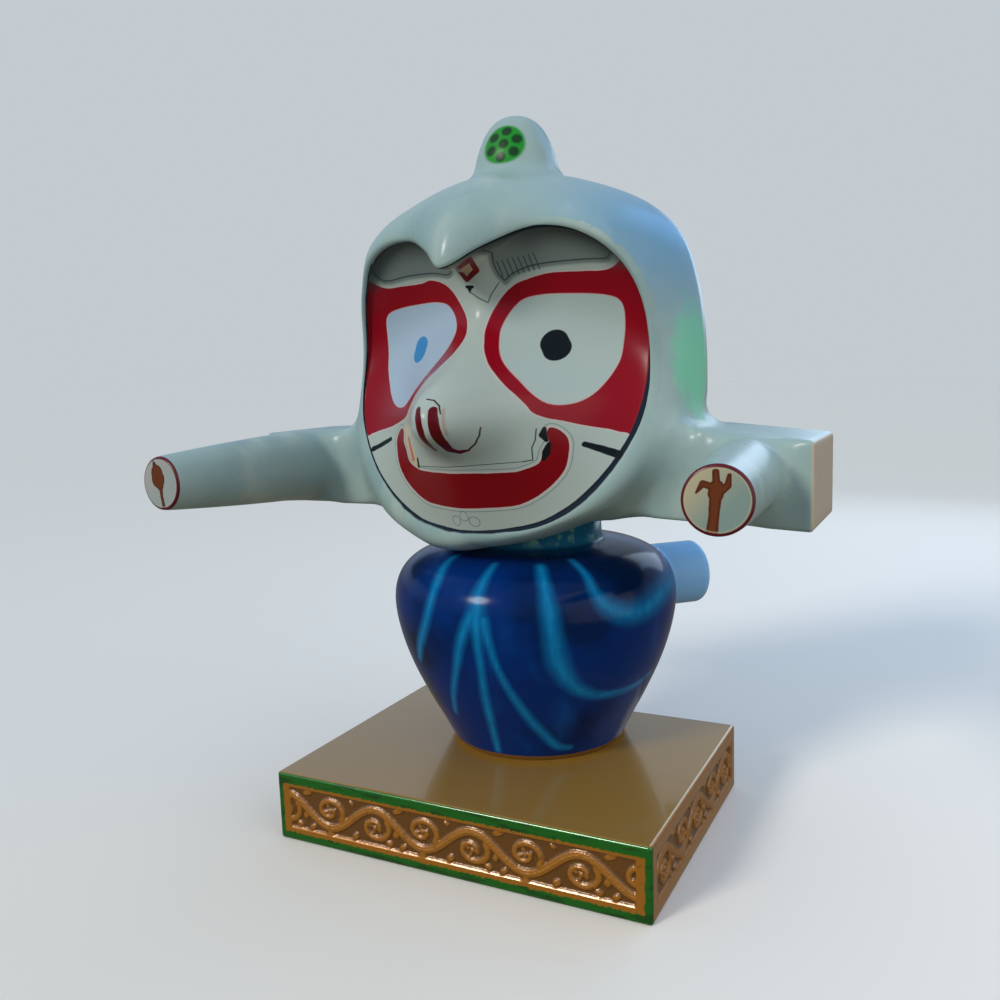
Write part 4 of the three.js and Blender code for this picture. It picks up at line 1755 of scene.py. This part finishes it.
@dataclass
class Studio:
    """A pale floor, soft light and a camera at the photograph's angle."""

    place: tuple = (727.3, -1445.2, 787.9)
    yaw: float = 27.14
    pitch: float = 7.70
    roll: float = -1.99
    focal: float = 33.87
    ground: str = "77736A"
    above: str = "A6B9CD"
    backdrop: str = "C4CBD0"

    def camera(self) -> None:
        """Adds the camera."""
        data = bpy.data.cameras.new("camera")
        data.sensor_width = 36
        data.lens = self.focal
        camera = bpy.data.objects.new("camera", data)
        bpy.context.scene.collection.objects.link(camera)
        yaw, pitch, roll = (math.radians(a) for a in (self.yaw, self.pitch, self.roll))
        forward = Vector((-math.sin(yaw) * math.cos(pitch), math.cos(yaw) * math.cos(pitch), -math.sin(pitch)))
        right = Vector((math.cos(yaw), math.sin(yaw), 0))
        up = right.cross(forward)
        tilted_right = right * math.cos(roll) + up * math.sin(roll)
        tilted_up = up * math.cos(roll) - right * math.sin(roll)
        turn = Matrix((tilted_right, tilted_up, -forward)).transposed()
        camera.matrix_world = Matrix.Translation(Vector(self.place) * MM) @ turn.to_4x4()
        bpy.context.scene.camera = camera

    def floor(self) -> None:
        """Adds the floor."""
        bm = bmesh.new()
        bmesh.ops.create_grid(bm, x_segments=2, y_segments=2, size=60)
        floor = piece_from("floor", bm)
        # Matt painted board: a pale, even ground without a mirror image
        floor.data.materials.append(Paint("matt_floor_paint", "F0EAE0").finish(Gloss(roughness=0.75)))
        floor.visible_diffuse = floor.visible_glossy = False

    def light(self, name: str, kind: str, place: Place, power: float, colour: str, wide: float) -> None:
        """Adds one soft light that faces the figure and isn't seen itself.

        Args:
            name: the light's name.
            kind: SUN or AREA.
            place: where it stands, in metres.
            power: its watts, or its watts per square metre for a sun.
            colour: its sRGB colour.
            wide: its width in metres, or the sun's angle in degrees.
        """
        data = bpy.data.lights.new(name, kind)
        data.energy = power
        data.color = linear(colour)[:3]
        if kind == "SUN":
            data.angle = math.radians(wide)
        else:
            data.size = wide
        lamp = bpy.data.objects.new(name, data)
        bpy.context.scene.collection.objects.link(lamp)
        lamp.location = place
        lamp.rotation_euler = (Vector((0, 0, 0.5)) - Vector(place)).to_track_quat("-Z", "Y").to_euler()
        lamp.visible_camera = False

    def sky(self) -> None:
        """Adds the light of a pale sky over dark ground, with an even pale backdrop for the camera."""
        world = bpy.data.worlds.new("studio")
        world.use_nodes = True
        tree = world.node_tree
        tree.nodes.clear()
        way = add_node(tree, "TexCoord", out="Generated")
        rise = add_node(tree, "SeparateXYZ", way, out="Z")
        high = add_node(tree, "MapRange", rise, -0.05, 0.15, interpolation_type="SMOOTHSTEP")
        ground, above, plain = (linear(colour) for colour in (self.ground, self.above, self.backdrop))
        colour = add_node(tree, "Mix", high, named={6: ground, 7: above}, out=2, data_type="RGBA")
        seen = add_node(tree, "LightPath", out="Is Camera Ray")
        colour = add_node(tree, "Mix", seen, named={6: colour, 7: plain}, out=2, data_type="RGBA")
        light = add_node(tree, "Background", colour, 1.0)
        add_node(tree, "OutputWorld", light)
        bpy.context.scene.world = world

    def build(self) -> None:
        """Adds the camera, floor, lights and sky."""
        self.camera()
        self.floor()
        self.light("key", "SUN", (-1.2, -2.6, 2.1), 1.75, "FFF8EE", 16)
        self.light("side", "AREA", (2.8, -0.6, 1.3), 36, "FFF2E2", 3.4)
        self.light("rim", "AREA", (1.6, 2.4, 3.0), 17, "70B0FF", 1.6)
        self.light("back", "AREA", (0.7, 3.8, 1.9), 16, "CFE6FF", 1.6)
        self.sky()
        bpy.context.scene.view_settings.view_transform = "Standard"


def root_of(form: Head, side: Side) -> Vector:
    """Gives the root of a forearm in millimetres."""
    return form.arm_axis(side)[1]


def dress_head(head: bpy.types.Object, form: Head) -> None:
    """Paints the head, arms and knob, each region with its own enamel.

    Args:
        head: the skin.
        form: the sizes that it was built from.
    """
    mesh = head.data
    pale, face = PaleEnamel(), FacePaint()
    rim = face.mark(mesh, form.rim_outline())
    plough = (
        ((-7, -42, 7), (-4, -18, 6.2), (-2, 8, 7.5)), ((-2, 8, 9.5), (-1, 16, 9)), ((-1, 16, 5), (-2, 34, 4.2)),
        ((-8, 17, 4.5), (-17, 20, 4.5), (-25, 9, 1.6)), ((5, 12, 5), (12, 18, 4.5), (14, 30, 2.6)),
    )
    mace = (
        ((5, -41, 3.6), (1, -20, 3.6), (0, -8, 4.5)), ((-1, -4, 8), (-5, 8, 16), (-7, 16, 14.5)),
        ((-7, 16, 14.5), (-12, 30, 4.5), (-14, 36, 2)),
    )
    emblems = {
        Side.LEFT: HandPaint("left_hand_enamel", plough),
        Side.RIGHT: HandPaint("right_hand_enamel", mace, field_="9AA5A2", cream="A8A8A2"),
    }
    mesh.materials.clear()
    mesh.materials.append(pale.material())
    mesh.materials.append(face.material(pale, upper=False))
    mesh.materials.append(face.material(pale, upper=True))
    for side in Side:
        tip, root = form.arm_axis(side)
        mesh.materials.append(emblems[side].material(pale, tip, (root - tip).normalized()))
    mesh.materials.append(KnobPaint().material(pale))
    flat = np.empty(len(mesh.polygons) * 3)
    mesh.polygons.foreach_get("center", flat)
    middles = flat.reshape(-1, 3) / MM
    index = np.zeros(len(middles), int)
    first = np.empty(len(mesh.polygons), int)
    mesh.polygons.foreach_get("loop_start", first)
    corner = np.empty(len(mesh.loops), int)
    mesh.loops.foreach_get("vertex_index", corner)
    index[rim[corner[first]] < 14] = 1
    index[(index == 1) & (middles[:, 2] > 764)] = 2
    for number, side in enumerate(Side):
        tip = np.array(form.arm_axis(side)[0])
        away = middles - tip
        depth = away @ np.array((root_of(form, side) - Vector(tip)).normalized())
        index[(np.linalg.norm(away, axis=1) < form.hand_radius + 9) & (depth < 3.4)] = 3 + number
    index[middles[:, 2] > 1112] = 5
    mesh.polygons.foreach_set("material_index", index)
    mesh.update()


def main() -> None:
    """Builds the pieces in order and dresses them."""
    logging.basicConfig(level=logging.INFO, format="%(message)s")
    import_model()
    Studio().build()
    form = Head()
    head = form.build()
    dress_head(head, form)
    pieces = ((head, "figure", "enamelled_fibreglass"), (Body().build(), "figure", "enamelled_fibreglass"),
              (Plinth().build(), "plinth", "gold_enamel"))
    for piece, node, slot in pieces:
        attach(piece, "root")
        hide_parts(node)
        triangles = sum(len(face.vertices) - 2 for face in piece.data.polygons)
        LOG.info("%s: %d triangles", piece.name, triangles)


if __name__ == "__main__":
    main()
